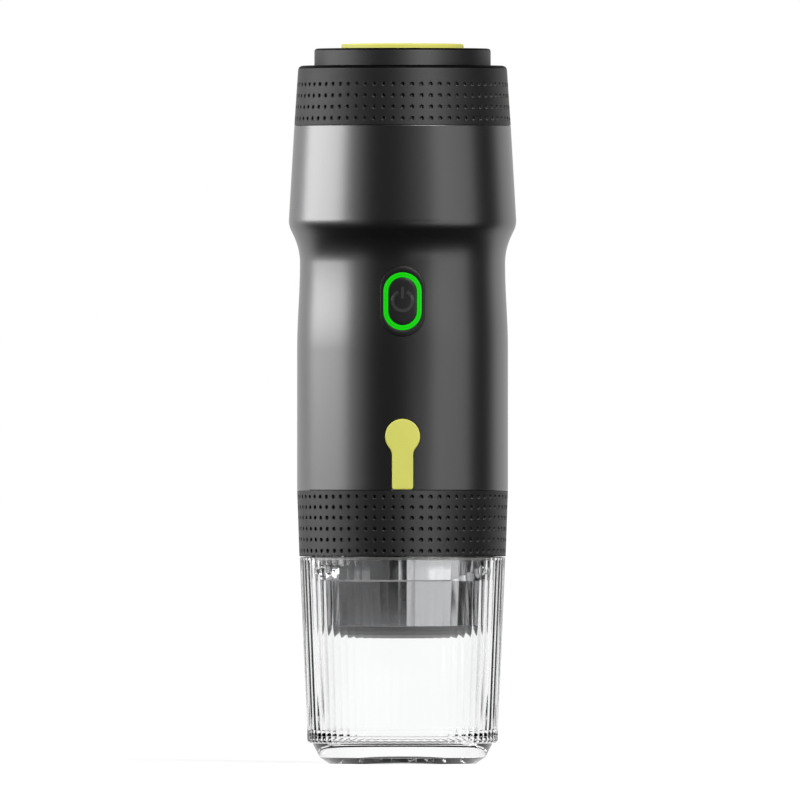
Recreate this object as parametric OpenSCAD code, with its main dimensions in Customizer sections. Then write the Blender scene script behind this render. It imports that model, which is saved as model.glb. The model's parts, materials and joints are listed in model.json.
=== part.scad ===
// Portable capsule coffee maker.
// A battery pump pushes water from the tank under the lid through a capsule in the brew
// head and down into the clear cup that the maker stands on.
// The origin is the centre of the cup's foot, +Z is up, and the button faces -Y.

/* [Heights] */
// Height of the clear cup
cup_h = 68.8; // [64:0.2:80]
// Height of the ring that screws the brew head on
brew_ring_h = 21.8; // [20:0.2:26]
// Height of the main body
body_h = 121.4; // [116:0.2:140]
// Height of the lid's grip ring
lid_ring_h = 19.7; // [18:0.1:26]
// Height of the raised disc on the lid
lid_disc_h = 5.7; // [4:0.1:10]
// Height that the pad stands above the disc
lid_pad_h = 1.7; // [1:0.1:4]
// Seam between the stacked outer pieces
seam = 0.3; // [0.2:0.05:0.5]

/* [Body outline] */
// Radius of the straight lower part of the body
body_r = 35.15; // [32:0.05:40]
// How far the body's waist lies inside its lower part
waist_in = 0.95; // [0.4:0.05:1.3]
// How far the body's shoulder stands out over its lower part
shoulder_out = 2.73; // [2.3:0.01:4]
// Height on the body where the lower part starts to narrow
narrow_up = 46.8; // [36:0.2:56]
// Height on the body of the waist
waist_up = 75.6; // [70:0.2:79]
// Radius of the hollow curve above the waist
waist_round = 21; // [14:0.5:26]
// Radius of the shoulder's rounding
shoulder_round = 7.4; // [5:0.2:10]
// Lean of the flare between waist and shoulder, in degrees
flare_angle = 25.4; // [20:0.2:32]
// Lean of the body's top part, in degrees
top_taper = 3.3; // [1:0.1:4]
// Wall of the body shell
body_wall = 2.2; // [1.8:0.1:2.4]

/* [Cup] */
// Number of ribs round the cup
cup_ribs = 70; // [40:1:80]
// How far the cup's rim lies inside the ring over it
cup_in = 0.1; // [0:0.05:0.3]
// How much narrower the cup is at the lower ends of its ribs
cup_taper = 2.55; // [1.5:0.05:3]
// Height where the ribs end
cup_step_z = 6.8; // [5.6:0.1:9]
// Step from the ribs in to the plain base
cup_step_in = 1.65; // [1:0.05:2]
// How much narrower the foot is than the plain base
foot_in = 4.1; // [3:0.1:5]
// Wall of the cup under the ribs
cup_wall = 2.3; // [2:0.1:2.4]
// Depth of the flutes between the ribs
rib_depth = 0.5; // [0.3:0.05:0.7]
// Height of the cup's inner floor
cup_floor = 9.2; // [8.4:0.1:11]
// Height of the bayonet lugs below the rim
lug_down = 4.5; // [4:0.1:5]
// Width of a bayonet lug
lug_w = 4.3; // [3:0.1:5]
// Height of a bayonet lug
lug_h = 2.3; // [1.8:0.1:2.5]
// Number of bayonet lugs
lug_count = 3; // [3:1:4]
// Degrees that the cup turns for each millimetre it drops
cup_turn = 6; // [4:0.5:8]

/* [Brew head] */
// How much narrower the brew ring is at its foot
ring_taper = 0.75; // [0.3:0.05:1]
// Thickness of the grip sleeves
sleeve_t = 1.2; // [0.8:0.1:1.4]
// Wall of the brew ring behind its sleeve
ring_wall = 1.4; // [1.2:0.1:1.8]
// Room between the two walls of a screw thread
thread_gap = 1; // [0.8:0.05:1.1]
// Thickness of the brew ring's floor
ring_floor_t = 2.4; // [1.8:0.1:3]
// How far the bayonet collar lies inside the brew ring's bore
collar_in = 1.4; // [1.2:0.1:1.8]
// How far the collar hangs below the brew ring
collar_drop = 8.1; // [7.6:0.1:10]
// How far the capsule holder hangs below the brew ring
holder_drop = 27.5; // [27:0.1:32]
// How much narrower the capsule holder is than its collar
holder_in = 3.8; // [2.8:0.1:4.8]
// Radius of a capsule's rim
capsule_rim_r = 18.55; // [18:0.05:19]
// Radius of a capsule under its rim
capsule_r = 15; // [14.5:0.1:15.2]
// Radius of a capsule at its closed end
capsule_end_r = 12.5; // [11.5:0.1:13]
// Depth of a capsule under its rim
capsule_depth = 27.6; // [26:0.1:27.8]

/* [Button and port] */
// Height on the body of the button's centre
button_up = 62.8; // [60:0.2:64]
// Width of the button's bezel
bezel_w = 14.8; // [14.4:0.1:16]
// Height of the button's bezel
bezel_h = 23.4; // [22.6:0.1:26]
// Width over the light ring
light_w = 13.1; // [12:0.1:13.2]
// Height over the light ring
light_h = 19.4; // [18:0.1:20.6]
// Width of the light ring's band
light_band = 1.85; // [1.4:0.05:2.2]
// Travel of the power key
key_travel = 0.5; // [0.3:0.05:0.6]
// Height on the body of the charging port
port_up = 17.9; // [17:0.1:22]
// Radius of the port plug's round head
plug_head_r = 5.85; // [5.6:0.05:6.5]
// Width of the port plug's strap
plug_strap_w = 7.1; // [5:0.1:8]
// Radius of the neck between head and strap
plug_neck_round = 4; // [2:0.1:6]
// Thickness of the port plug
plug_t = 1.2; // [0.9:0.1:1.4]
// Height of the plug's folding line above the body's foot
plug_fold_up = 3.6; // [3:0.1:5]

/* [Drive and power] */
// Radius of a battery cell as a share of the carrier's radius
cell_share = 0.293; // [0.26:0.001:0.296]
// Length of a battery cell
cell_l = 65.2; // [64.4:0.1:67]
// Radius of the pump and its motor as a share of the carrier's radius
pump_share = 0.395; // [0.38:0.001:0.4]
// Length of the pump motor
motor_l = 31; // [28:0.5:34]
// Radius of the pump's water nozzles
nozzle_r = 2; // [1.6:0.1:2.2]
// Wall of the water hoses
hose_wall = 1.1; // [0.8:0.1:1.3]
// Radius of the heater block as a share of the carrier's radius
heater_share = 0.624; // [0.56:0.002:0.636]
// Height of the heater block
heater_h = 8; // [7:0.2:10]
// Width of the circuit board as a share of the carrier's radius
board_share = 0.764; // [0.72:0.002:0.79]

/* [Lid and tank] */
// How far the tank's filling neck lies inside the body's top edge
neck_inset = 5.68; // [5.5:0.02:7]
// Height of the filling neck above the body
neck_h = 9.6; // [8:0.1:10.5]
// Wall of the tank
tank_wall = 2; // [1.6:0.1:2.4]
// How much narrower the lid's grip ring is at its top
lid_taper = 1.23; // [0.6:0.01:1.6]
// Rounding of the lid ring's upper edge
lid_round = 1.6; // [0.8:0.1:2]
// How far the raised disc lies inside the grip ring's top
disc_in = 5.45; // [4:0.05:7]
// How far the pad lies inside the raised disc
pad_in = 9; // [5:0.1:13]

/* [Hidden] */
$fn = 96;

// Clearances
fit = 0.15;
slip = 0.08;
eps = 0.01;

// Heights of the outer stack
z_ring = cup_h + seam;
z_ring_top = z_ring + brew_ring_h;
z_body = z_ring_top + seam;
z_body_top = z_body + body_h;
z_lid = z_body_top + seam;
z_lid_top = z_lid + lid_ring_h;
z_disc_top = z_lid_top + lid_disc_h;
z_pad_top = z_disc_top + lid_pad_h;

// Points that shape the body
waist_r = body_r - waist_in;
shoulder_r = body_r + shoulder_out;
z_narrow = z_body + narrow_up;
z_waist = z_body + waist_up;
flare_r = waist_r + waist_round * (1 - cos(flare_angle));
flare_z = z_waist + waist_round * sin(flare_angle);
turn_r = shoulder_r - shoulder_round * (cos(top_taper) - cos(flare_angle));
turn_z = flare_z + (turn_r - flare_r) / tan(flare_angle);
z_shoulder = turn_z + shoulder_round * (sin(flare_angle) + sin(top_taper));
body_top_r = shoulder_r - (z_body_top - z_shoulder) * tan(top_taper);

// Radii of the brew ring and the cup, each set in from the piece above it
ring_low_r = body_r - ring_taper;
ring_in_r = ring_low_r - sleeve_t - ring_wall;
cup_top_r = ring_low_r - cup_in;
cup_low_r = cup_top_r - cup_taper;
cup_base_r = cup_low_r - cup_step_in;
cup_foot_r = cup_base_r - foot_in;
collar_r = ring_in_r - collar_in;

// Cup
rib_lean = atan((cup_top_r - cup_low_r) / (cup_h - cup_step_z));
flute_r = 1.25;
cup_in_top = cup_top_r - rib_depth - cup_wall;
bevel_w = 1.24;
bevel_h = 2.1;
lip_in = 1.5;
lip_out = 1.7;
lip_h = 2.1;
under_h = 0.3;
cup_bend_z = cup_floor + bevel_h;
cup_in_low = tip_r(cup_bend_z) - rib_depth - cup_wall;
z_lug = cup_h - lug_down;
lug_in_r = collar_r - 0.9;
gasket_in = cup_in_top + 0.6;
gasket_w = 1;

// Brew head
z_flange = z_ring + ring_floor_t;
flange_h = 4.2;
z_collar = z_ring - collar_drop;
z_holder = z_ring - holder_drop;
holder_floor = 2.2;
z_basket = z_flange + 2.4;
z_basket_top = z_basket + 1.7;
seat_t = 0.9;
z_seat = z_basket_top - seat_t;
z_pierce = z_seat - capsule_depth - 0.3;
pierce_t = 0.8;
basket_r = ring_in_r - 3.7;
holder_r = collar_r - holder_in;
holder_in_r = basket_r - 2.1;
groove_floor = lug_in_r - 0.4;
groove_w = 2 * atan((lug_w / 2) / lug_in_r) + cup_turn * lug_h + 2.6;
groove_top = z_lug + lug_h / 2 + 0.35;

// Base of the body, with the parts that reach down into the brew head
z_base = z_body + 0.3;
base_t = 3;
z_base_top = z_base + base_t;
base_r = body_r - body_wall - 0.3;
thread_r = ring_in_r - thread_gap;
boss_in = capsule_rim_r + 2.35;
boss_r = boss_in + 3.5;
spike_ring = boss_in - 6.9;
seal_h = 1.7;
z_boss = z_basket_top + seal_h + 0.3;
spike_t = 1.8;
spike_l = 4.4;
z_web = z_boss + spike_t;
screw_ring = (boss_r + thread_r - 2) / 2;
leg_angles = [20, 160, 230, 310];

// Inner stack
z_heater = z_base_top + 2;
z_deck = z_heater + heater_h + 1;
deck_t = 2;
z_cell = z_deck + deck_t;
z_cell_top = z_cell + cell_l;
z_upper = z_cell_top + 0.7;
z_tank = z_upper + deck_t + 2.3;
frame_r = waist_r - body_wall - 0.6;
board_t = 1.6;
board_y = frame_r - 6;
board_w = frame_r * board_share;
cell_r = frame_r * cell_share;
pump_r = frame_r * pump_share;
pump_bore = pump_r - 3.2;
pump_ring = pump_r - 1.6;
cup_ring = pump_r - 6.8;
heater_r = frame_r * heater_share;
cell_back = frame_r - cell_r;
cell_y = -(board_y - board_t - 1.4 - cell_r);
cell_places = [[-cell_back * cos(13), -cell_back * sin(13)],
    [cell_back * cos(13), -cell_back * sin(13)], [0, cell_y]];
pump_y = frame_r - pump_r - 0.4;
z_pump = z_cell + motor_l;
housing_h = 13;
z_membrane = z_pump + housing_h;
membrane_t = 1.5;
z_valves = z_membrane + membrane_t;
valves_t = 3;
z_cover = z_valves + valves_t;
cover_h = 7;
z_outlet = z_cover + 3.6;
hose_in = nozzle_r + 0.05;
hose_r = hose_in + hose_wall;
nozzle_bore = nozzle_r - 0.8;
elbow = 3.6;
hose_x = -(pump_r + 0.8 + elbow);
shaft_r = 1;
throw = 1.8;

// Button and port
z_button = z_body + button_up;
button_r = body_at(z_button);
light_back = button_r - 3.2;
key_w = light_w - 2 * light_band;
key_h = light_h - 2 * light_band;
key_back = light_back - 0.3;
key_flange = 1;
z_port = z_body + port_up;
z_fold = z_body + plug_fold_up;
port_w = 9.6;
port_h = 4;
usb_front = body_r - body_wall - 0.35;

// Lid
neck_r = body_top_r - neck_inset;
lid_top_r = body_top_r - lid_taper;
disc_r = lid_top_r - disc_in;
pad_r = disc_r - pad_in;
z_neck_top = z_body_top + neck_h;
neck_in = neck_r - 2.2;
plug_r = neck_in - 0.6;
skirt_r = neck_r + thread_gap;
lid_roof = 2.2;
lid_gasket_h = 1.9;
z_plug_flange = z_neck_top + lid_gasket_h + 0.25;
z_plug = z_neck_top - 6.2;
tank_r = body_top_r - body_wall - 0.5;
tank_roof = 2;
tank_low_r = frame_r - 1;
z_wide = max(z_tank + 4, z_shoulder + 0.3);

// Outer radius of the ribs at a height on the cup
function tip_r(z) = cup_low_r + (cup_top_r - cup_low_r) * (z - cup_step_z) / (cup_h - cup_step_z);
// Outer radius of the body at a height between its narrowing and its waist
function body_at(z) = body_r - (body_r - waist_r)
    * (1 - cos(180 * (z - z_narrow) / (z_waist - z_narrow))) / 2;
// The body's outline from foot to top, moved outwards by d
function outline(d) = concat(
    [[body_r + d, z_body], [body_r + d, z_narrow]],
    [for (i = [1:11]) let (z = z_narrow + (z_waist - z_narrow) * i / 12) [body_at(z) + d, z]],
    [for (i = [0:6]) let (a = flare_angle * i / 6)
        [waist_r + d + waist_round * (1 - cos(a)), z_waist + waist_round * sin(a)]],
    [for (i = [0:6]) let (a = (flare_angle + top_taper) * i / 6 - flare_angle)
        [shoulder_r + d + shoulder_round * (cos(a) - cos(top_taper)),
            z_shoulder + shoulder_round * (sin(a) - sin(top_taper))]],
    [[body_top_r + d, z_body_top]]);
// Points of an arc in the plane
function arc(cx, cy, r, a0, a1, n) = [for (i = [0:n]) let (a = a0 + (a1 - a0) * i / n)
    [cx + r * cos(a), cy + r * sin(a)]];

module revolve(points) {
    rotate_extrude() polygon(points);
}

module disc(r, z0, z1) {
    translate([0, 0, z0]) cylinder(r = r, h = z1 - z0);
}

module cone(r0, r1, z0, z1) {
    translate([0, 0, z0]) cylinder(r1 = r0, r2 = r1, h = z1 - z0);
}

module tube(r_out, r_in, z0, z1) {
    difference() {
        disc(r_out, z0, z1);
        disc(r_in, z0 - 1, z1 + 1);
    }
}

// Copies children round the axis at radius r
module ring_of(count, r, start = 0) {
    for (i = [0:count - 1]) rotate([0, 0, start + 360 * i / count]) translate([r, 0, 0]) children();
}

// Solid with the body's outline moved outwards by d
module skin(d) {
    revolve(concat([[0, z_body]], outline(d), [[0, z_body_top]]));
}

// Rounded slot through the front, from radius y_in out to y_out
module front_slot(w, h, z, y_in, y_out) {
    long = max(w, h);
    r = min(w, h) / 2;
    run_x = (w > h) ? (w - h) / 2 : 0;
    run_y = (w > h) ? 0 : (h - w) / 2;
    translate([0, -y_in, z]) rotate([90, 0, 0]) {
        for (s = [-1, 1]) translate([s * run_x, s * run_y, 0]) cylinder(r = r, h = y_out - y_in);
        translate([-w / 2 + ((w > h) ? r : 0), -h / 2 + ((w > h) ? 0 : r), 0])
            cube([w - ((w > h) ? 2 * r : 0), h - ((w > h) ? 0 : 2 * r), y_out - y_in]);
    }
}

// Outline of the port plug, grown by g, with x across and y up
function plug_side(g) = let (
    head = plug_head_r + g,
    half = plug_strap_w / 2 + g,
    neck = plug_neck_round - g,
    drop = sqrt(pow(head + neck, 2) - pow(half + neck, 2)),
    lean = atan2(-drop, half + neck),
    foot = z_body + 0.25 - g,
    corner = 0.8 + g)
    concat(arc(half - corner, foot + corner, corner, -90, 0, 4),
        arc(half + neck, z_port - drop, neck, 180, 180 + lean, 6),
        arc(0, z_port, head, lean, 90, 16));

module plug_prism(g) {
    right = plug_side(g);
    left = [for (i = [len(right) - 2:-1:0]) [-right[i][0], right[i][1]]];
    translate([0, -body_r + 6, 0]) rotate([90, 0, 0]) linear_extrude(10) polygon(concat(right, left));
}

module cup() {
    flute_z = cup_step_z - 1.5;
    color([0.86, 0.9, 0.92, 0.5]) {
        difference() {
            revolve([[0, under_h], [cup_foot_r - 3.8, under_h], [cup_foot_r - 3, 0],
                [cup_foot_r - lip_in, 0], [cup_foot_r + lip_out, lip_h], [cup_base_r, cup_step_z],
                [cup_low_r, cup_step_z], [cup_top_r, cup_h], [cup_in_top, cup_h],
                [cup_in_low, cup_bend_z], [cup_in_low - bevel_w, cup_floor],
                [0, cup_floor]]);
            ring_of(cup_ribs, 0, 180 / cup_ribs - 90)
                translate([tip_r(flute_z) - rib_depth + flute_r, 0, flute_z])
                    rotate([0, rib_lean, 0]) cylinder(r = flute_r, h = cup_h + 4, $fn = 24);
            tube(gasket_in + gasket_w, gasket_in, cup_h - 1, cup_h + 1);
        }
        ring_of(lug_count, 0, 90) intersection() {
            tube(cup_in_top + 0.6, lug_in_r, z_lug - lug_h / 2, z_lug + lug_h / 2);
            translate([lug_in_r - 5, -lug_w / 2, z_lug - 5]) cube([12, lug_w, 10]);
        }
    }
}

module cup_gasket() {
    color([0.2, 0.2, 0.2])
        tube(gasket_in + gasket_w - slip, gasket_in + slip, cup_h - 0.9, cup_h + seam / 2);
}

module brew_ring() {
    color([0.07, 0.07, 0.07])
        revolve([[collar_r + fit, z_ring], [ring_low_r - sleeve_t, z_ring],
            [body_r - sleeve_t, z_ring_top], [ring_in_r, z_ring_top], [ring_in_r, z_flange],
            [collar_r + fit, z_flange]]);
}

module brew_sleeve() {
    color([0.1, 0.1, 0.1])
        revolve([[ring_low_r - sleeve_t + 0.05, z_ring], [ring_low_r - 0.4, z_ring],
            [ring_low_r, z_ring + 0.4], [body_r, z_ring_top - 0.4], [body_r - 0.4, z_ring_top],
            [body_r - sleeve_t + 0.05, z_ring_top]]);
}

module brew_shell() {
    $fn = 80;
    color([0.12, 0.12, 0.12]) difference() {
        revolve([[4.2, z_holder], [holder_r - 7.6, z_holder], [holder_r - 2.6, z_holder + 1.2],
            [holder_r - 0.6, z_holder + 2.6], [holder_r, z_holder + 4.2],
            [collar_r - 2.2, z_collar], [collar_r - 0.4, z_collar], [collar_r, z_collar + 0.4],
            [collar_r, z_flange], [ring_in_r - 0.2, z_flange], [ring_in_r - 0.2, z_flange + flange_h],
            [basket_r + 0.2, z_flange + flange_h], [basket_r + 0.2, z_basket],
            [holder_in_r, z_basket], [holder_in_r, z_collar], [holder_r - 2.2, z_holder + 5],
            [holder_r - 8.2, z_holder + holder_floor], [4.2, z_holder + holder_floor]]);
        // Slanted bayonet grooves, open at the collar's lower edge
        ring_of(lug_count, 0, 90)
            rotate([0, 0, -cup_turn * (z_lug - z_collar + 1)])
                translate([0, 0, z_collar - 1])
                    linear_extrude(height = groove_top - z_collar + 1,
                        twist = -cup_turn * (groove_top - z_collar + 1), slices = 8)
                        polygon(concat(arc(0, 0, groove_floor, -groove_w / 2, groove_w / 2, 4),
                            arc(0, 0, collar_r + 2, groove_w / 2, -groove_w / 2, 2)));
    }
}

module capsule_basket() {
    wall = 1.6;
    top_r = capsule_r + 0.35;
    end_r = capsule_end_r + 0.3;
    color([0.75, 0.76, 0.78])
        revolve([[2.2, z_pierce - pierce_t - 1.8], [end_r + wall, z_pierce - pierce_t - 1.8],
            [top_r + wall, z_basket], [basket_r, z_basket], [basket_r, z_basket_top],
            [capsule_rim_r + 0.35, z_basket_top], [capsule_rim_r + 0.35, z_seat], [top_r, z_seat],
            [end_r, z_pierce - pierce_t], [2.2, z_pierce - pierce_t]]);
}

module pierce_plate() {
    color([0.8, 0.8, 0.82]) {
        difference() {
            disc(capsule_end_r, z_pierce - pierce_t, z_pierce);
            ring_of(8, 8) disc(0.9, z_pierce - 2, z_pierce + 1);
            ring_of(4, 2, 45) disc(0.7, z_pierce - 2, z_pierce + 1);
        }
        ring_of(3, 4.6, 90) cone(1.3, 0.25, z_pierce - eps, z_pierce + 4);
    }
}

module outlet_nozzle() {
    color([0.25, 0.25, 0.25]) tube(4.05, 2, z_holder + 0.3, z_pierce - pierce_t - 1.8);
}

module basket_gasket() {
    color([0.75, 0.2, 0.12]) tube(boss_r - 0.8, boss_in + 0.9, z_basket_top + 0.1, z_basket_top + seal_h);
}

module base_plate() {
    color([0.09, 0.09, 0.09]) difference() {
        union() {
            disc(base_r, z_base, z_base_top);
            tube(base_r, base_r - 2, z_base_top - eps, z_base_top + 5);
            tube(thread_r, thread_r - 2, z_body - 10.7, z_base + eps);
            tube(boss_r, boss_in, z_boss, z_base + eps);
            disc(boss_in + eps, z_web, z_web + 2);
        }
        disc(hose_r + 0.9, z_boss, z_base_top + 1);
        for (a = leg_angles) rotate([0, 0, a]) translate([screw_ring, 0, 0]) {
            disc(1.25, z_base - 1, z_base_top + 1);
            disc(2.15, z_base - 1, z_base + 1.4);
        }
        ring_of(3, spike_ring, 30) disc(0.85, z_web - 1, z_web + 3);
    }
}

module spike_plate() {
    color([0.82, 0.82, 0.84]) difference() {
        union() {
            disc(boss_in - 0.1, z_boss, z_web);
            disc(nozzle_r, z_web - eps, z_web + 6.5);
            ring_of(3, 4.6, 90) cone(0.25, 1.3, z_boss - spike_l, z_boss + eps);
        }
        disc(nozzle_bore, z_boss + 0.9, z_web + 8);
        ring_of(6, 0) translate([0, 0, z_boss + 0.9]) rotate([0, 115, 0])
            cylinder(r = 0.5, h = 4, $fn = 24);
        ring_of(3, spike_ring, 30) {
            disc(0.9, z_boss - 1, z_web + 1);
            disc(1.7, z_boss - 1, z_boss + 0.9);
        }
    }
}

module spike_seal() {
    color([0.75, 0.2, 0.12]) tube(capsule_rim_r + 0.6, capsule_rim_r - 1.8, z_boss - 1.5, z_boss);
}

module spike_screws() {
    color([0.7, 0.7, 0.7]) ring_of(3, spike_ring, 30) {
        disc(1.6, z_boss + 0.1, z_boss + 0.9);
        disc(0.8, z_boss + 0.9 - eps, z_web + 2.6);
    }
}

module heater_hose() {
    color([0.85, 0.85, 0.8]) tube(hose_r, hose_in, z_web + 2.6, z_heater - 0.6);
}

module heater_block() {
    z_ear = z_heater + heater_h - 0.5;
    color([0.6, 0.61, 0.63]) difference() {
        union() {
            disc(heater_r, z_heater, z_heater + heater_h);
            // Ear that takes the hose from the pump
            translate([hose_x, pump_y, 0]) disc(4, z_heater + 0.5, z_ear);
            rotate([0, 0, atan2(pump_y, hose_x)]) translate([heater_r - 4, -3, z_heater + 1])
                cube([norm([hose_x, pump_y]) - heater_r + 4, 6, heater_h - 2]);
            ring_of(3, heater_r - 5.6, 90) disc(3, z_base_top, z_heater + 1);
            disc(nozzle_r, z_base + 0.5, z_heater + 1);
            translate([hose_x, pump_y, 0]) disc(nozzle_r, z_ear - 1, z_ear + 6.5);
        }
        disc(nozzle_bore, z_base - 1, z_heater + 2);
        translate([hose_x, pump_y, 0]) disc(nozzle_bore, z_heater + 3, z_ear + 8);
    }
}

module thermal_fuse() {
    color([0.85, 0.8, 0.65]) translate([0, -heater_r - 1.85, 0]) {
        disc(1.8, z_heater + 0.5, z_heater + heater_h - 1.5);
        disc(0.4, z_heater + heater_h - 1.5 - eps, z_heater + heater_h + 0.7);
    }
}

// Plain disc of a deck with the notch that the board passes through
module deck(z) {
    difference() {
        disc(frame_r, z, z + deck_t);
        translate([-board_w / 2 - 0.6, -frame_r - 5, z - 1])
            cube([board_w + 1.2, frame_r + 5 - board_y + 3.4, deck_t + 2]);
    }
}

module inner_frame() {
    rail = 5;
    color([0.2, 0.21, 0.22]) difference() {
        union() {
            deck(z_deck);
            deck(z_upper);
            // Sockets that hold the cells and the motor
            intersection() {
                disc(frame_r, z_deck, z_cell + 4);
                union() {
                    for (p = cell_places) translate([p[0], p[1], 0])
                        disc(cell_r + 1.4, z_cell - eps, z_cell + 4);
                    translate([0, pump_y, 0]) disc(pump_r + 1.4, z_cell - eps, z_cell + 4);
                }
            }
            for (a = leg_angles) rotate([0, 0, a]) translate([screw_ring, 0, 0])
                disc(2.4, z_base_top, z_deck + eps);
            for (a = [leg_angles[0], leg_angles[1]]) rotate([0, 0, a]) translate([screw_ring, 0, 0])
                disc(2, z_deck, z_upper + eps);
            // Rails that hold the board by its edges
            for (s = [-1, 1]) translate([s * (board_w / 2 + 1.5) - rail / 2, -board_y - 1.7, z_deck])
                cube([rail, rail, z_upper + deck_t - z_deck]);
        }
        for (p = cell_places) translate([p[0], p[1], 0]) disc(cell_r + fit, z_cell, z_cell + 5);
        translate([0, pump_y, 0]) disc(pump_r + fit, z_cell, z_cell + 5);
        translate([0, pump_y, 0]) disc(hose_r + 1, z_upper - 1, z_upper + 5);
        translate([hose_x, pump_y, 0]) disc(hose_r + 0.8, z_deck - 1, z_cell + 5);
        translate([-board_w / 2 - fit, -board_y - 0.1, z_deck - 1])
            cube([board_w + 2 * fit, board_t + 0.2, z_upper - z_deck - 4]);
        for (a = leg_angles) rotate([0, 0, a]) translate([screw_ring, 0, 0])
            disc(1, z_base_top - 1, z_base_top + 8);
    }
}

module frame_screws() {
    color([0.7, 0.7, 0.7]) for (a = leg_angles) rotate([0, 0, a]) translate([screw_ring, 0, 0]) {
        disc(2, z_base + 0.2, z_base + 1.4);
        disc(0.95, z_base + 1.4 - eps, z_base_top + 7);
    }
}

module battery_cell(p) {
    translate([p[0], p[1], 0]) {
        disc(cell_r, z_cell, z_cell_top - 1);
        disc(3, z_cell_top - 1 - eps, z_cell_top);
    }
}

module battery_cell_1() {
    color([0.15, 0.35, 0.6]) battery_cell(cell_places[0]);
}

module battery_cell_2() {
    color([0.15, 0.35, 0.6]) battery_cell(cell_places[1]);
}

module battery_cell_3() {
    color([0.15, 0.35, 0.6]) battery_cell(cell_places[2]);
}

module battery_tabs() {
    color([0.8, 0.8, 0.75]) for (i = [0, 1]) {
        step = cell_places[2] - cell_places[i];
        translate([cell_places[i][0], cell_places[i][1], z_cell_top])
            rotate([0, 0, atan2(step[1], step[0])]) translate([-3, -3.5, 0])
                cube([norm(step) + 6, 7, 0.3]);
    }
}

module main_board() {
    color([0.05, 0.35, 0.15])
        translate([-board_w / 2, -board_y, z_port - 5]) cube([board_w, board_t, z_button - z_port + 15]);
}

module board_parts() {
    color([0.1, 0.1, 0.1]) for (b = [[-8, 12, 6, 6, 1.2], [2, 11, 7, 5, 1], [-6, 21, 8, 8, 3],
        [5, 22, 3, 4, 0.9], [5, 28, 4, 3, 0.9]])
        translate([b[0], -board_y - b[4], z_port + b[1]]) cube([b[2], b[4], b[3]]);
}

module tact_switch() {
    top = key_back - key_flange - key_travel - 0.1;
    color([0.15, 0.15, 0.15]) {
        translate([-3, -top + 0.8, z_button - 3]) cube([6, top - 0.8 - board_y, 6]);
        front_slot(3, 3.001, z_button, board_y, top);
    }
}

module usb_socket() {
    color([0.72, 0.73, 0.75]) {
        difference() {
            front_slot(8.94, 3.26, z_port, board_y, usb_front);
            front_slot(8.3, 2.62, z_port, board_y + 1, usb_front + 1);
        }
        translate([-3.3, -usb_front + 0.8, z_port - 0.35])
            cube([6.6, usb_front - board_y - 0.8 - 0.5, 0.7]);
    }
}

module pump_motor() {
    color([0.66, 0.67, 0.69]) translate([0, pump_y, 0]) difference() {
        union() {
            disc(pump_r - 0.2, z_cell, z_pump - 1.5);
            disc(6, z_pump - 1.5 - eps, z_pump);
        }
        disc(shaft_r + 0.06, z_pump - 12, z_pump + 1);
    }
}

module motor_shaft() {
    color([0.8, 0.8, 0.82]) translate([0, pump_y, 0]) disc(shaft_r, z_pump - 11.7, z_pump + 6.6);
}

module pump_eccentric() {
    color([0.9, 0.9, 0.88]) translate([0, pump_y, 0]) {
        difference() {
            disc(5.4, z_pump + 2.6, z_pump + 7.4);
            disc(shaft_r + 0.02, z_pump + 1, z_pump + 6.7);
        }
        translate([throw, 0, 0]) disc(0.9, z_pump + 7.4 - eps, z_pump + 10);
    }
}

module pump_housing() {
    color([0.14, 0.14, 0.14]) translate([0, pump_y, 0]) difference() {
        disc(pump_r, z_pump, z_membrane);
        disc(pump_bore, z_pump + 2, z_membrane + 1);
        disc(6.3, z_pump - 1, z_pump + 3);
        ring_of(3, pump_ring, 30) disc(0.85, z_membrane - 8, z_membrane + 1);
    }
}

module swing_yoke() {
    color([0.92, 0.92, 0.9]) translate([0, pump_y, 0]) difference() {
        union() {
            disc(3.9, z_pump + 8.2, z_membrane - 1.3);
            ring_of(3, 0, 90) translate([0, -1.6, z_membrane - 2.6]) cube([pump_bore - 1.4, 3.2, 1.3]);
        }
        disc(throw + 1.3, z_pump + 7, z_pump + 10.5);
    }
}

module pump_diaphragm() {
    color([0.12, 0.12, 0.12]) translate([0, pump_y, 0]) difference() {
        union() {
            disc(pump_r, z_membrane, z_valves);
            ring_of(3, cup_ring, 90) disc(2.9, z_membrane - 1.3, z_membrane + eps);
        }
        ring_of(3, cup_ring, 90) disc(2.1, z_membrane - 0.5, z_valves + 1);
        ring_of(3, pump_ring, 30) disc(0.9, z_membrane - 1, z_valves + 1);
    }
}

module pump_valve_plate() {
    color([0.85, 0.85, 0.83]) translate([0, pump_y, 0]) difference() {
        disc(pump_r, z_valves, z_cover);
        ring_of(3, cup_ring, 90) disc(0.8, z_valves - 1, z_cover + 1);
        ring_of(3, pump_bore - 1.2, 90) disc(0.6, z_valves - 1, z_cover + 1);
        ring_of(3, pump_ring, 30) disc(0.9, z_valves - 1, z_cover + 1);
    }
}

module pump_cover() {
    color([0.14, 0.14, 0.14]) translate([0, pump_y, 0]) difference() {
        union() {
            disc(pump_r, z_cover, z_cover + cover_h);
            disc(nozzle_r, z_cover + cover_h - eps, z_cover + cover_h + 6);
            translate([-pump_r + 3, 0, z_outlet]) rotate([0, -90, 0]) cylinder(r = nozzle_r, h = 7);
        }
        disc(pump_bore - 5.2, z_cover - 1, z_cover + 4);
        tube(pump_bore - 0.2, pump_bore - 3.2, z_cover - 1, z_cover + 4.6);
        disc(nozzle_bore, z_cover + 3, z_cover + cover_h + 8);
        translate([-pump_bore + 1.7, 0, z_outlet]) rotate([0, -90, 0]) cylinder(r = nozzle_bore, h = 12);
        ring_of(3, pump_ring, 30) {
            disc(0.9, z_cover - 1, z_cover + cover_h + 1);
            disc(1.5, z_cover + cover_h - 1, z_cover + cover_h + 1);
        }
    }
}

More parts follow.
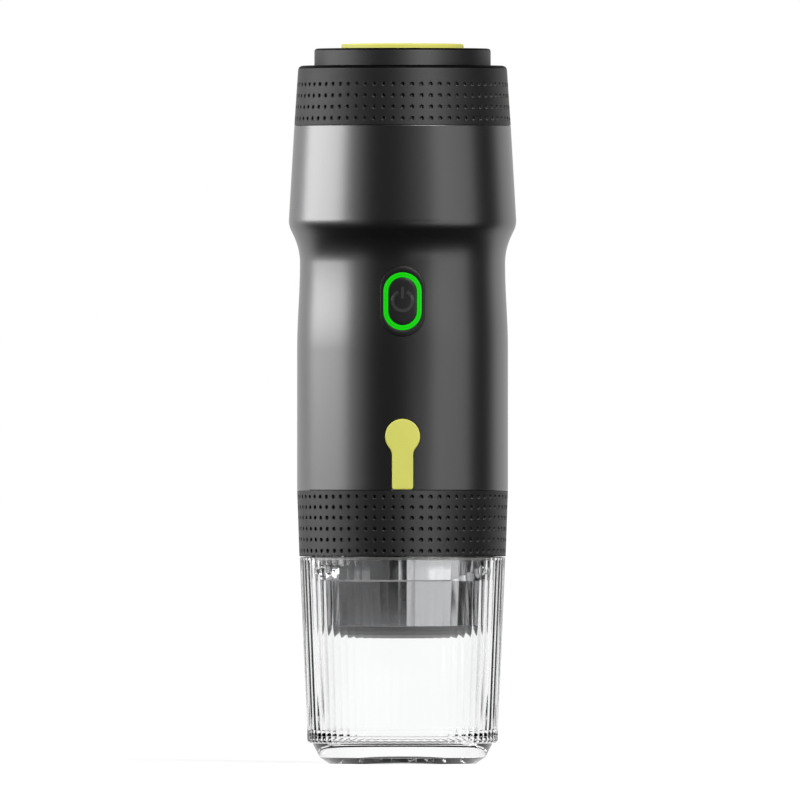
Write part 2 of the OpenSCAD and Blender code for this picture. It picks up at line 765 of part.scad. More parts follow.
module pump_screws() {
    color([0.7, 0.7, 0.7]) translate([0, pump_y, 0]) ring_of(3, pump_ring, 30) {
        disc(1.4, z_cover + cover_h - 1, z_cover + cover_h + 0.1);
        disc(0.8, z_membrane - 7, z_cover + cover_h - 1 + eps);
    }
}

// Moulded corner on the pump's side nozzle
module outlet_elbow() {
    color([0.14, 0.14, 0.14]) translate([hose_x, pump_y, 0]) difference() {
        union() {
            translate([-elbow, -elbow, z_outlet - elbow]) cube(2 * elbow);
            disc(nozzle_r, z_outlet - elbow - 5, z_outlet - elbow + eps);
        }
        translate([elbow + 1, 0, z_outlet]) rotate([0, -90, 0])
            cylinder(r = nozzle_r + 0.05, h = elbow + 1);
        disc(nozzle_bore, z_outlet - elbow - 6, z_outlet);
    }
}

// Hose from the elbow down to the heater
module pump_hose() {
    color([0.85, 0.85, 0.8]) translate([hose_x, pump_y, 0])
        tube(hose_r, hose_in, z_heater + heater_h + 0.3, z_outlet - elbow - 0.2);
}

module tank_hose() {
    color([0.85, 0.85, 0.8])
        translate([0, pump_y, 0]) tube(hose_r, hose_in, z_cover + cover_h + 0.4, z_tank - 0.4);
}

module body_shell() {
    inner = outline(-body_wall);
    top = inner[len(inner) - 1];
    color([0.05, 0.05, 0.05]) difference() {
        skin(0);
        revolve(concat([[0, z_body - 1], [body_r - body_wall, z_body - 1]], inner,
            [[top[0], z_body_top + 1], [0, z_body_top + 1]]));
        front_slot(bezel_w + 2 * fit, bezel_h + 2 * fit, z_button, button_r - 8, button_r + 4);
        // Pocket that takes the port plug
        difference() {
            plug_prism(0.25);
            skin(-plug_t);
        }
        front_slot(port_w, port_h, z_port, body_r - 6, body_r + 1);
        // Window that the plug's anchor passes through
        translate([-plug_strap_w / 2 + 1.2, -body_r - 1, z_body + 0.9])
            cube([plug_strap_w - 2.4, 6, 1.8]);
    }
}

module button_frame() {
    depth = 30;
    color([0.03, 0.03, 0.03]) difference() {
        union() {
            intersection() {
                front_slot(bezel_w, bezel_h, z_button, key_back - key_flange - 0.6, button_r + 3);
                skin(0.25);
            }
            intersection() {
                front_slot(bezel_w + 3, bezel_h + 3, z_button, key_back - key_flange - 0.6,
                    button_r + 3);
                skin(-body_wall - 0.1);
            }
        }
        front_slot(light_w + 0.1, light_h + 0.1, z_button, light_back, button_r + 4);
        front_slot(light_w - 0.6, light_h - 0.6, z_button, button_r - depth, light_back + eps);
    }
}

module light_ring() {
    color([0.1, 0.85, 0.05]) difference() {
        intersection() {
            front_slot(light_w, light_h, z_button, light_back, button_r + 3);
            skin(0.25);
        }
        front_slot(key_w, key_h, z_button, light_back - 1, button_r + 4);
    }
}

module power_key() {
    color([0.04, 0.04, 0.04]) {
        intersection() {
            front_slot(key_w - 0.3, key_h - 0.3, z_button, key_back - 0.5, button_r + 3);
            skin(0.15);
        }
        front_slot(light_w - 1.4, light_h - 1.4, z_button, key_back - key_flange, key_back);
    }
}

// Sheet with the port plug's outline that lies in the shell's pocket
module plug_sheet() {
    difference() {
        intersection() {
            plug_prism(0);
            skin(0.15);
        }
        skin(-plug_t + 0.1);
    }
}

module port_plug() {
    color([0.82, 0.81, 0.4]) {
        difference() {
            plug_sheet();
            translate([-20, -body_r - 5, z_body - 5]) cube([40, 20, z_fold - z_body + 5.1]);
        }
        front_slot(port_w - 1.6, port_h - 1.6, z_port, body_r - plug_t - 1.3, body_r - 0.5);
    }
}

module plug_anchor() {
    color([0.82, 0.81, 0.4]) {
        difference() {
            plug_sheet();
            translate([-20, -body_r - 5, z_fold - 0.1]) cube([40, 20, 60]);
        }
        translate([-plug_strap_w / 2 + 1.35, -body_r + 0.6, z_body + 1.05])
            cube([plug_strap_w - 2.7, body_wall - 0.3, 1.5]);
    }
}

module water_tank() {
    color([0.75, 0.8, 0.83, 0.6]) difference() {
        union() {
            revolve([[0, z_tank], [tank_low_r, z_tank], [tank_low_r, z_wide - 3.6], [tank_r, z_wide],
                [tank_r, z_body_top - tank_roof - 0.2], [0, z_body_top - tank_roof - 0.2]]);
            ring_of(3, tank_r - 15.4, 30) disc(2.5, z_upper + deck_t, z_tank + eps);
            translate([0, pump_y, 0]) disc(nozzle_r, z_tank - 5, z_tank + eps);
        }
        revolve([[0, z_tank + tank_wall], [tank_low_r - tank_wall + 0.2, z_tank + tank_wall],
            [tank_low_r - tank_wall + 0.2, z_wide - 1.9], [tank_r - tank_wall, z_wide + 0.6],
            [tank_r - tank_wall, z_body_top], [0, z_body_top]]);
        translate([0, pump_y, 0]) disc(nozzle_bore, z_tank - 6, z_tank + 5);
    }
}

module tank_neck() {
    color([0.75, 0.8, 0.83, 0.6])
        revolve([[neck_in, z_body_top - tank_roof - 0.2], [tank_r, z_body_top - tank_roof - 0.2],
            [tank_r, z_body_top - 0.2], [neck_r, z_body_top - 0.2], [neck_r, z_neck_top],
            [neck_in, z_neck_top]]);
}

module tank_strainer() {
    color([0.8, 0.8, 0.82]) translate([0, pump_y, 0]) difference() {
        disc(5, z_tank + tank_wall, z_tank + tank_wall + 1.2);
        disc(4.2, z_tank + tank_wall - 1, z_tank + tank_wall + 0.7);
        ring_of(6, 2.6) disc(0.6, z_tank, z_tank + tank_wall + 3);
    }
}

module lid_gasket() {
    color([0.8, 0.8, 0.78])
        tube(neck_r, neck_in - 0.2, z_neck_top + 0.1, z_neck_top + 0.1 + lid_gasket_h);
}

module lid_ring() {
    z_roof = z_lid_top - lid_roof;
    color([0.07, 0.07, 0.07]) difference() {
        revolve([[1.5, z_roof], [skirt_r, z_roof], [skirt_r, z_lid + 1.6],
            [skirt_r + 0.8, z_lid + 0.4], [body_top_r - sleeve_t, z_lid + 0.4],
            [lid_top_r - sleeve_t, z_lid_top - 1.2], [disc_r + 1.6, z_lid_top - 1.2],
            [disc_r + 1.6, z_lid_top], [1.5, z_lid_top]]);
        ring_of(3, neck_r - 2.3, 90) {
            disc(1.2, z_roof - 1, z_lid_top + 1);
            disc(2.2, z_lid_top - 1.2, z_lid_top + 1);
        }
        ring_of(3, disc_r - 6, 30) disc(1.6, z_roof - 1, z_lid_top + 1);
    }
}

module lid_sleeve() {
    color([0.1, 0.1, 0.1])
        revolve(concat([[body_top_r - sleeve_t + 0.05, z_lid + 0.4], [body_top_r - sleeve_t - 0.6, z_lid],
            [body_top_r - 0.3, z_lid], [body_top_r, z_lid + 0.3]],
            arc(lid_top_r - lid_round, z_lid_top - lid_round, lid_round, 0, 90, 6),
            [[disc_r + 1.65, z_lid_top], [disc_r + 1.65, z_lid_top - 1.15],
                [lid_top_r - sleeve_t + 0.05, z_lid_top - 1.15]]));
}

module lid_plug() {
    z_roof = z_lid_top - lid_roof;
    color([0.85, 0.85, 0.84]) difference() {
        revolve([[2.5, z_plug], [plug_r - 1, z_plug], [plug_r, z_plug + 1], [plug_r, z_plug_flange],
            [neck_r, z_plug_flange], [neck_r, z_roof], [plug_r - 1.8, z_roof],
            [plug_r - 1.8, z_plug + 1.8], [2.5, z_plug + 1.8]]);
        ring_of(3, neck_r - 2.3, 90) disc(1, z_plug_flange + 0.8, z_roof + 1);
    }
}

module vent_valve() {
    color([0.3, 0.3, 0.3]) {
        disc(4.6, z_plug + 1.8, z_plug + 2.8);
        disc(2.45, z_plug + 0.2, z_plug + 1.8 + eps);
    }
}

module lid_screws() {
    z_roof = z_lid_top - lid_roof;
    color([0.7, 0.7, 0.7]) ring_of(3, neck_r - 2.3, 90) {
        disc(2, z_lid_top - 1.2, z_lid_top - 0.1);
        disc(0.95, z_plug_flange + 1.2, z_lid_top - 1.2 + eps);
    }
}

module lid_disc() {
    wall = 2.2;
    z_in = z_disc_top - 2;
    color([0.06, 0.06, 0.06]) difference() {
        union() {
            revolve(concat([[disc_r - wall, z_lid_top], [disc_r, z_lid_top]],
                arc(disc_r - 1, z_disc_top - 0.8, 0.8, 0, 90, 5),
                [[0, z_disc_top], [0, z_in], [disc_r - wall, z_in]]));
            ring_of(3, disc_r - 6, 30) disc(1.5, z_lid_top - lid_roof + 0.3, z_in + eps);
        }
        disc(pad_r + 0.1, z_disc_top - 0.6, z_disc_top + 1);
        // Breather notch at the back
        translate([-1.5, disc_r - 5, z_lid_top - 1]) cube([3, 8, 1.9]);
    }
}

module lid_pad() {
    color([0.8, 0.8, 0.35])
        revolve([[0, z_disc_top - 0.6], [pad_r, z_disc_top - 0.6], [pad_r, z_disc_top + 0.3],
            [pad_r - 0.5, z_pad_top - 0.6], [pad_r - 1.2, z_pad_top - 0.1], [pad_r - 2.4, z_pad_top],
            [0, z_pad_top]]);
}

cup();
cup_gasket();
brew_ring();
brew_sleeve();
brew_shell();
capsule_basket();
pierce_plate();
outlet_nozzle();
basket_gasket();
base_plate();
spike_plate();
spike_seal();
spike_screws();
heater_hose();
heater_block();
thermal_fuse();
inner_frame();
frame_screws();
battery_cell_1();
battery_cell_2();
battery_cell_3();
battery_tabs();
main_board();
board_parts();
tact_switch();
usb_socket();
pump_motor();
motor_shaft();
pump_eccentric();
pump_housing();
swing_yoke();
pump_diaphragm();
pump_valve_plate();
pump_cover();
pump_screws();
outlet_elbow();
pump_hose();
tank_hose();
body_shell();
button_frame();
light_ring();
power_key();
port_plug();
plug_anchor();
water_tank();
tank_neck();
tank_strainer();
lid_gasket();
lid_ring();
lid_sleeve();
lid_plug();
vent_valve();
lid_screws();
lid_disc();
lid_pad();
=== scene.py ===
"""Looks of the portable capsule coffee maker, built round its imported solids.

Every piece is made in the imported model's frame: +Z is up, the button faces -Y, and sizes are
written in millimetres and turned into metres when a mesh is made.
"""

from __future__ import annotations

import json
import logging
import math
from dataclasses import dataclass, field
from enum import Enum
from typing import Any, Iterable, Sequence

import bmesh
import bpy
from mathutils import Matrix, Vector

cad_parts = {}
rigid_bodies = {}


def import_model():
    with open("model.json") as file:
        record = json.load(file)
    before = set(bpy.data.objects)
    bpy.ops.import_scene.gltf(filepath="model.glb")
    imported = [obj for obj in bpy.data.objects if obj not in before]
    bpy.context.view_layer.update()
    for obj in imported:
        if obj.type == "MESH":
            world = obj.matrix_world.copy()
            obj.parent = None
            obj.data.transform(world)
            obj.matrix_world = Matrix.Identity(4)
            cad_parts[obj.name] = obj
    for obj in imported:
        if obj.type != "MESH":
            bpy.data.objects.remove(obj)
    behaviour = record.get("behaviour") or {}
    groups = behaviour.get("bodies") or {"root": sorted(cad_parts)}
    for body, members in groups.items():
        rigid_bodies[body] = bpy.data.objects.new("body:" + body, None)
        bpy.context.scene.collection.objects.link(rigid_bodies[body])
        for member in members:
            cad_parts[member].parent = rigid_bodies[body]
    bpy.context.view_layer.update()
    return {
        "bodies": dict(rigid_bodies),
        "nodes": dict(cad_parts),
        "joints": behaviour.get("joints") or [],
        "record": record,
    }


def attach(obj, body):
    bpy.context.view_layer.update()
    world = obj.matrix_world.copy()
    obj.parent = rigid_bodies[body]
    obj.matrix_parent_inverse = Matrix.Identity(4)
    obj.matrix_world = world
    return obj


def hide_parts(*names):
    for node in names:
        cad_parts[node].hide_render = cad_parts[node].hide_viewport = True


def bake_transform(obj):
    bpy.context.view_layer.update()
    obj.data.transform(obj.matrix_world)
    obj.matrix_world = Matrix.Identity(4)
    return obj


LOG = logging.getLogger("coffee_maker")
MM = 0.001
FRONT = -math.pi / 2

# Distances under which points count as one: from the axis in mm, the others in metres
ON_AXIS = 1e-6
WELD_M = 2e-6
SPECK_M = 1e-7

# Depth of every screw ridge, in mm
THREAD_DEPTH = 0.7

Flat = tuple[float, float]
Spot = tuple[float, float, float]
Colour = tuple[float, float, float]


@dataclass(frozen=True)
class Corner:
    """A corner of a turned outline, in mm.

    A corner with a round gets a fillet, and a soft one is a point of a smooth curve.
    """

    r: float
    z: float
    round: float = 0.0
    soft: bool = False


@dataclass(frozen=True)
class Knot:
    """A point of a finished outline with the surface directions before and after it."""

    r: float
    z: float
    before: Flat
    after: Flat


def unit(a: float, b: float) -> Flat:
    """Gives (a, b) the length one."""
    size = math.hypot(a, b) or 1.0
    return a / size, b / size


def spread(low: float, high: float, steps: int) -> list[float]:
    """Gives evenly spaced values from low to high, both among them."""
    return [low + (high - low) * i / steps for i in range(steps + 1)]


def turned(corners: Sequence[Corner], closed: bool = False, steps: int = 6) -> list[Knot]:
    """Turns corners into the knots of an outline that runs anticlockwise round the solid.

    Args:
        corners: the outline's corners in order.
        closed: whether the last corner joins the first.
        steps: number of flats on each fillet.

    Returns:
        The outline's knots with exact surface directions.
    """
    knots: list[Knot] = []
    last = len(corners) - 1
    for i, c in enumerate(corners):
        past = corners[i - 1] if closed or i > 0 else None
        ahead = corners[(i + 1) % len(corners)] if closed or i < last else None
        d_in = unit(c.r - past.r, c.z - past.z) if past else None
        d_out = unit(ahead.r - c.r, ahead.z - c.z) if ahead else None
        d_in = d_in or d_out
        d_out = d_out or d_in
        n_in = (d_in[1], -d_in[0])
        n_out = (d_out[1], -d_out[0])
        if c.soft:
            n = unit(n_in[0] + n_out[0], n_in[1] + n_out[1])
            knots.append(Knot(c.r, c.z, n, n))
        elif c.round > 0 and past and ahead:
            turn = math.atan2(
                d_in[0] * d_out[1] - d_in[1] * d_out[0], d_in[0] * d_out[0] + d_in[1] * d_out[1]
            )
            reach = c.round * math.tan(abs(turn) / 2)
            side = math.copysign(c.round, turn)
            centre = (
                c.r - d_in[0] * reach - side * n_in[0],
                c.z - d_in[1] * reach - side * n_in[1],
            )
            for k in range(steps + 1):
                a = turn * k / steps
                n = (
                    n_in[0] * math.cos(a) - n_in[1] * math.sin(a),
                    n_in[0] * math.sin(a) + n_in[1] * math.cos(a),
                )
                knots.append(Knot(centre[0] + side * n[0], centre[1] + side * n[1], n, n))
        else:
            knots.append(Knot(c.r, c.z, n_in, n_out))
    return knots


@dataclass(frozen=True)
class Cone:
    """A leaning round wall between two heights, in mm."""

    r_low: float
    z_low: float
    r_high: float
    z_high: float

    @property
    def lean(self) -> float:
        """Change of radius for each millimetre of height."""
        return (self.r_high - self.r_low) / (self.z_high - self.z_low)

    def at(self, z: float) -> float:
        """Radius at a height."""
        return self.r_low + self.lean * (z - self.z_low)


class Skin:
    """Gathers the points, faces and surface directions of one mesh, in mm."""

    def __init__(self) -> None:
        """Starts with nothing in it."""
        self.points: list[Spot] = []
        self.faces: list[list[int]] = []
        self.ways: list[Spot] = []

    def spin(self, knots: Sequence[Knot], sides: int, closed: bool = False) -> None:
        """Turns an outline round the axis.

        Args:
            knots: the outline, anticlockwise in (r, z).
            sides: number of flats round the axis.
            closed: whether the last knot joins the first.
        """
        circle = [
            (math.cos(FRONT + math.tau * j / sides), math.sin(FRONT + math.tau * j / sides))
            for j in range(sides)
        ]
        rings: list[list[int]] = []
        for knot in knots:
            start = len(self.points)
            if knot.r < ON_AXIS:
                rings.append([start] * sides)
                self.points.append((0.0, 0.0, knot.z))
            else:
                rings.append(list(range(start, start + sides)))
                self.points.extend((knot.r * c, knot.r * s, knot.z) for c, s in circle)
        count = len(knots)
        for k in range(count if closed else count - 1):
            a, b = knots[k], knots[(k + 1) % count]
            low, high = rings[k], rings[(k + 1) % count]
            if a.r < ON_AXIS and b.r < ON_AXIS:
                continue
            for j in range(sides):
                n = (j + 1) % sides
                loop = [(low[j], a.after, j), (low[n], a.after, n), (high[n], b.before, n)]
                loop.append((high[j], b.before, j))
                if a.r < ON_AXIS:
                    loop.pop(1)
                if b.r < ON_AXIS:
                    loop.pop()
                self.faces.append([v for v, _, _ in loop])
                self.ways.extend((w[0] * circle[i][0], w[0] * circle[i][1], w[1]) for _, w, i in loop)

    def face(self, ids: Sequence[int], ways: Sequence[Spot]) -> None:
        """Adds one face with the surface direction at each of its corners."""
        self.faces.append(list(ids))
        self.ways.extend(ways)

    def strip(self, low: Sequence[int], high: Sequence[int]) -> None:
        """Adds the faces between two loops of points.

        Args:
            low: numbers of the points of the lower loop.
            high: numbers of the points of the upper loop, as many.
        """
        for i in range(len(low)):
            n = (i + 1) % len(low)
            corners = [low[i], low[n], high[n], high[i]]
            self.faces.append(list(dict.fromkeys(corners)))

    def make(self, name: str, sharp: float = 35.0, weld: bool = False) -> bpy.types.Object:
        """Makes the object.

        Args:
            name: the piece's name.
            sharp: angle in degrees from which edges stay sharp where no directions are known.
            weld: whether points at one place are joined.

        Returns:
            The new object, linked to the scene.
        """
        mesh = bpy.data.meshes.new(name)
        mesh.from_pydata([(x * MM, y * MM, z * MM) for x, y, z in self.points], [], self.faces)
        if weld:
            work = bmesh.new()
            work.from_mesh(mesh)
            bmesh.ops.remove_doubles(work, verts=work.verts, dist=WELD_M)
            bmesh.ops.dissolve_degenerate(work, edges=work.edges, dist=SPECK_M)
            work.to_mesh(mesh)
            work.free()
        mesh.shade_smooth()
        if self.ways and not weld:
            mesh.normals_split_custom_set(self.ways)
        else:
            mesh.set_sharp_from_angle(angle=math.radians(sharp))
        piece = bpy.data.objects.new(name, mesh)
        bpy.context.scene.collection.objects.link(piece)
        return piece


def lathe(
    name: str, corners: Sequence[Corner], sides: int = 128, closed: bool = False, steps: int = 6
) -> bpy.types.Object:
    """Makes a turned piece from its outline.

    Args:
        name: the piece's name.
        corners: the outline, anticlockwise in (r, z).
        sides: number of flats round the axis.
        closed: whether the outline is a ring.
        steps: flats on each fillet.

    Returns:
        The new object.
    """
    skin = Skin()
    skin.spin(turned(corners, closed, steps), sides, closed)
    return skin.make(name)


def carve(target: bpy.types.Object, cutters: Iterable[bpy.types.Object]) -> None:
    """Cuts closed meshes out of a piece and removes the cutters.

    Args:
        target: the piece that is cut.
        cutters: the closed meshes, in the order of the cuts.
    """
    for cutter in cutters:
        knife = target.modifiers.new("carve", "BOOLEAN")
        knife.object = cutter
        knife.operation = "DIFFERENCE"
        knife.solver = "EXACT"
        graph = bpy.context.evaluated_depsgraph_get()
        fresh = bpy.data.meshes.new_from_object(target.evaluated_get(graph))
        target.modifiers.clear()
        target.data = fresh
        bpy.data.objects.remove(cutter)


def prism(name: str, outline: Sequence[Flat], depth_in: float, depth_out: float) -> bpy.types.Object:
    """Makes a closed prism along Y from an outline in (x, z) that is anticlockwise from the front.

    Args:
        name: the piece's name.
        outline: corners of the outline in mm.
        depth_in: distance from the axis where the prism starts.
        depth_out: distance from the axis where it ends, further to the front.

    Returns:
        The new object.
    """
    skin = Skin()
    count = len(outline)
    for depth in (depth_in, depth_out):
        skin.points.extend((x, -depth, z) for x, z in outline)
    back, front = range(count), range(count, 2 * count)
    skin.strip(back, front)
    skin.faces.append(list(reversed(back)))
    skin.faces.append(list(front))
    return skin.make(name)


def bevel(piece: bpy.types.Object, width: float) -> None:
    """Rounds the edges of a piece.

    Args:
        piece: the piece.
        width: width of the rounding in mm.
    """
    edge = piece.modifiers.new("edge", "BEVEL")
    edge.width = width * MM
    edge.segments = 3


def feed(tree: bpy.types.NodeTree, target: bpy.types.Node, values: dict[Any, Any]) -> None:
    """Links or sets the inputs of a node.

    Args:
        tree: the node tree.
        target: the node.
        values: for each input, by name or number, the socket to link or the value to set.
    """
    for key, value in values.items():
        if isinstance(value, bpy.types.NodeSocket):
            tree.links.new(value, target.inputs[key])
        else:
            target.inputs[key].default_value = value


def node(tree: bpy.types.NodeTree, kind: str, values: dict[Any, Any] | None = None) -> bpy.types.Node:
    """Adds a shader node.

    Args:
        tree: the node tree.
        kind: its kind, without the words that every kind starts with.
        values: what its inputs get, as for feed.

    Returns:
        The new node.
    """
    made = tree.nodes.new(f"ShaderNode{kind}")
    feed(tree, made, values or {})
    return made


def maths(tree: bpy.types.NodeTree, kind: str, *values: Any) -> bpy.types.NodeSocket:
    """Adds a sum.

    Args:
        tree: the node tree.
        kind: the operation.
        values: the sockets or numbers that it works on.

    Returns:
        The result's socket.
    """
    made = tree.nodes.new("ShaderNodeMath")
    made.operation = kind
    feed(tree, made, dict(enumerate(values)))
    return made.outputs[0]


def ramp(
    tree: bpy.types.NodeTree, value: bpy.types.NodeSocket, span: Flat, ends: Flat = (0.0, 1.0)
) -> bpy.types.NodeSocket:
    """Adds a smooth step between two values.

    Args:
        tree: the node tree.
        value: the socket that is stepped.
        span: its values at the start and at the end of the step.
        ends: the results at the start and at the end.

    Returns:
        The result's socket.
    """
    made = node(tree, "MapRange", {"Value": value, "From Min": span[0], "From Max": span[1]})
    made.interpolation_type = "SMOOTHSTEP"
    feed(tree, made, {"To Min": ends[0], "To Max": ends[1]})
    return made.outputs["Result"]


class Grain(Enum):
    """Kinds of fine surface structure."""

    SATIN = "satin"
    MOULDED = "moulded"
    RUBBER = "rubber"
    BRUSHED = "brushed"
    CAST = "cast"


# How far the fine noise is squeezed across and along the axis, for grains that have a direction or size
SQUEEZE: dict[Grain, Flat] = {Grain.BRUSHED: (0.05, 1.0), Grain.CAST: (0.5, 0.5)}

# The broad noise in cycles for each metre, and the octaves of both noises
BROAD_SCALE = 60.0
BROAD_DETAIL = 3.0
FINE_DETAIL = 2.0

# The part of a noise that the colour and the gloss follow
COLOUR_SPAN: Flat = (0.3, 0.7)
GLOSS_SPAN: Flat = (0.25, 0.75)

# Turn that lays the gloss of a turned piece round its axis
ROUND_AXIS = 0.25


@dataclass(frozen=True)
class Finish:
    """A surface finish whose colour, gloss and relief vary finely over the piece."""

    name: str
    colour: Colour
    rough: float
    grain: Grain = Grain.MOULDED
    grain_mm: float = 0.35
    relief_mm: float = 0.006
    tint: float = 0.08
    swing: float = 0.05
    metal: float = 0.0
    ior: float = 1.5
    clear: float = 0.0
    coat: float = 0.0
    sheen: float = 0.0
    glow: float = 0.0
    turned: float = 0.0
    shine: float = 1.0

    def material(self) -> bpy.types.Material:
        """Makes the material, or finds it if it is made.

        Returns:
            The node material of this finish.
        """
        title = f"finish_{self.name}"
        known = bpy.data.materials.get(title)
        if known:
            return known
        made = bpy.data.materials.new(title)
        made.use_nodes = True
        tree = made.node_tree
        shader = tree.nodes["Principled BSDF"]
        coord = node(tree, "TexCoord").outputs["Object"]
        fine = self._noise(tree, coord, self._stretch(1000.0 / self.grain_mm), FINE_DETAIL)
        broad = self._noise(tree, coord, (BROAD_SCALE,) * 3, BROAD_DETAIL)
        relief = {"Strength": 1.0, "Distance": self.relief_mm * MM, "Height": fine}
        colour = self._colour(tree, broad, fine)
        values = {
            "Base Color": colour,
            "Roughness": self._gloss(tree, fine),
            "Normal": node(tree, "Bump", relief).outputs["Normal"],
            "Metallic": self.metal,
            "IOR": self.ior,
            "Transmission Weight": self.clear,
            "Coat Weight": self.coat,
            "Sheen Weight": self.sheen,
            "Specular Tint": (*(self.shine,) * 3, 1.0),
            "Anisotropic": self.turned,
            "Anisotropic Rotation": ROUND_AXIS if self.turned else 0.0,
        }
        feed(tree, shader, values)
        if self.glow:
            feed(tree, shader, {"Emission Color": colour, "Emission Strength": self.glow})
        return made

    def _stretch(self, scale: float) -> Spot:
        """Gives the scale of the fine noise along each axis for this grain."""
        across, along = SQUEEZE.get(self.grain, (1.0, 1.0))
        return scale * across, scale * across, scale * along

    def _noise(
        self, tree: bpy.types.NodeTree, coord: bpy.types.NodeSocket, scale: Spot, detail: float
    ) -> bpy.types.NodeSocket:
        """Adds a noise texture in the piece's own coordinates.

        Args:
            tree: the material's nodes.
            coord: the piece's coordinates.
            scale: size of the pattern along each axis, in cycles for each metre.
            detail: octaves of the noise.

        Returns:
            The noise, from 0 to 1.
        """
        place = node(tree, "Mapping", {"Vector": coord, "Scale": scale}).outputs["Vector"]
        return node(tree, "TexNoise", {"Vector": place, "Scale": 1.0, "Detail": detail}).outputs["Fac"]

    def _colour(
        self, tree: bpy.types.NodeTree, broad: bpy.types.NodeSocket, fine: bpy.types.NodeSocket
    ) -> bpy.types.NodeSocket:
        """Adds a colour that varies a little with both noises.

        Args:
            tree: the material's nodes.
            broad: the broad noise.
            fine: the fine noise.

        Returns:
            The colour.
        """
        mean = maths(tree, "MULTIPLY_ADD", broad, 0.5, maths(tree, "MULTIPLY", fine, 0.5))
        made = node(tree, "ValToRGB", {"Fac": mean})
        shares = (1 - self.tint, 1 + self.tint)
        for end, spot, share in zip(made.color_ramp.elements, COLOUR_SPAN, shares):
            end.position = spot
            end.color = (*(min(1.0, c * share) for c in self.colour), 1.0)
        return made.outputs["Color"]

    def _gloss(self, tree: bpy.types.NodeTree, fine: bpy.types.NodeSocket) -> bpy.types.NodeSocket:
        """Adds a roughness that varies a little with the fine noise.

        Args:
            tree: the material's nodes.
            fine: the fine noise.

        Returns:
            The roughness.
        """
        low, high = max(0.0, self.rough - self.swing), min(1.0, self.rough + self.swing)
        span = {"Value": fine, "From Min": GLOSS_SPAN[0], "From Max": GLOSS_SPAN[1]}
        return node(tree, "MapRange", {**span, "To Min": low, "To Max": high}).outputs["Result"]


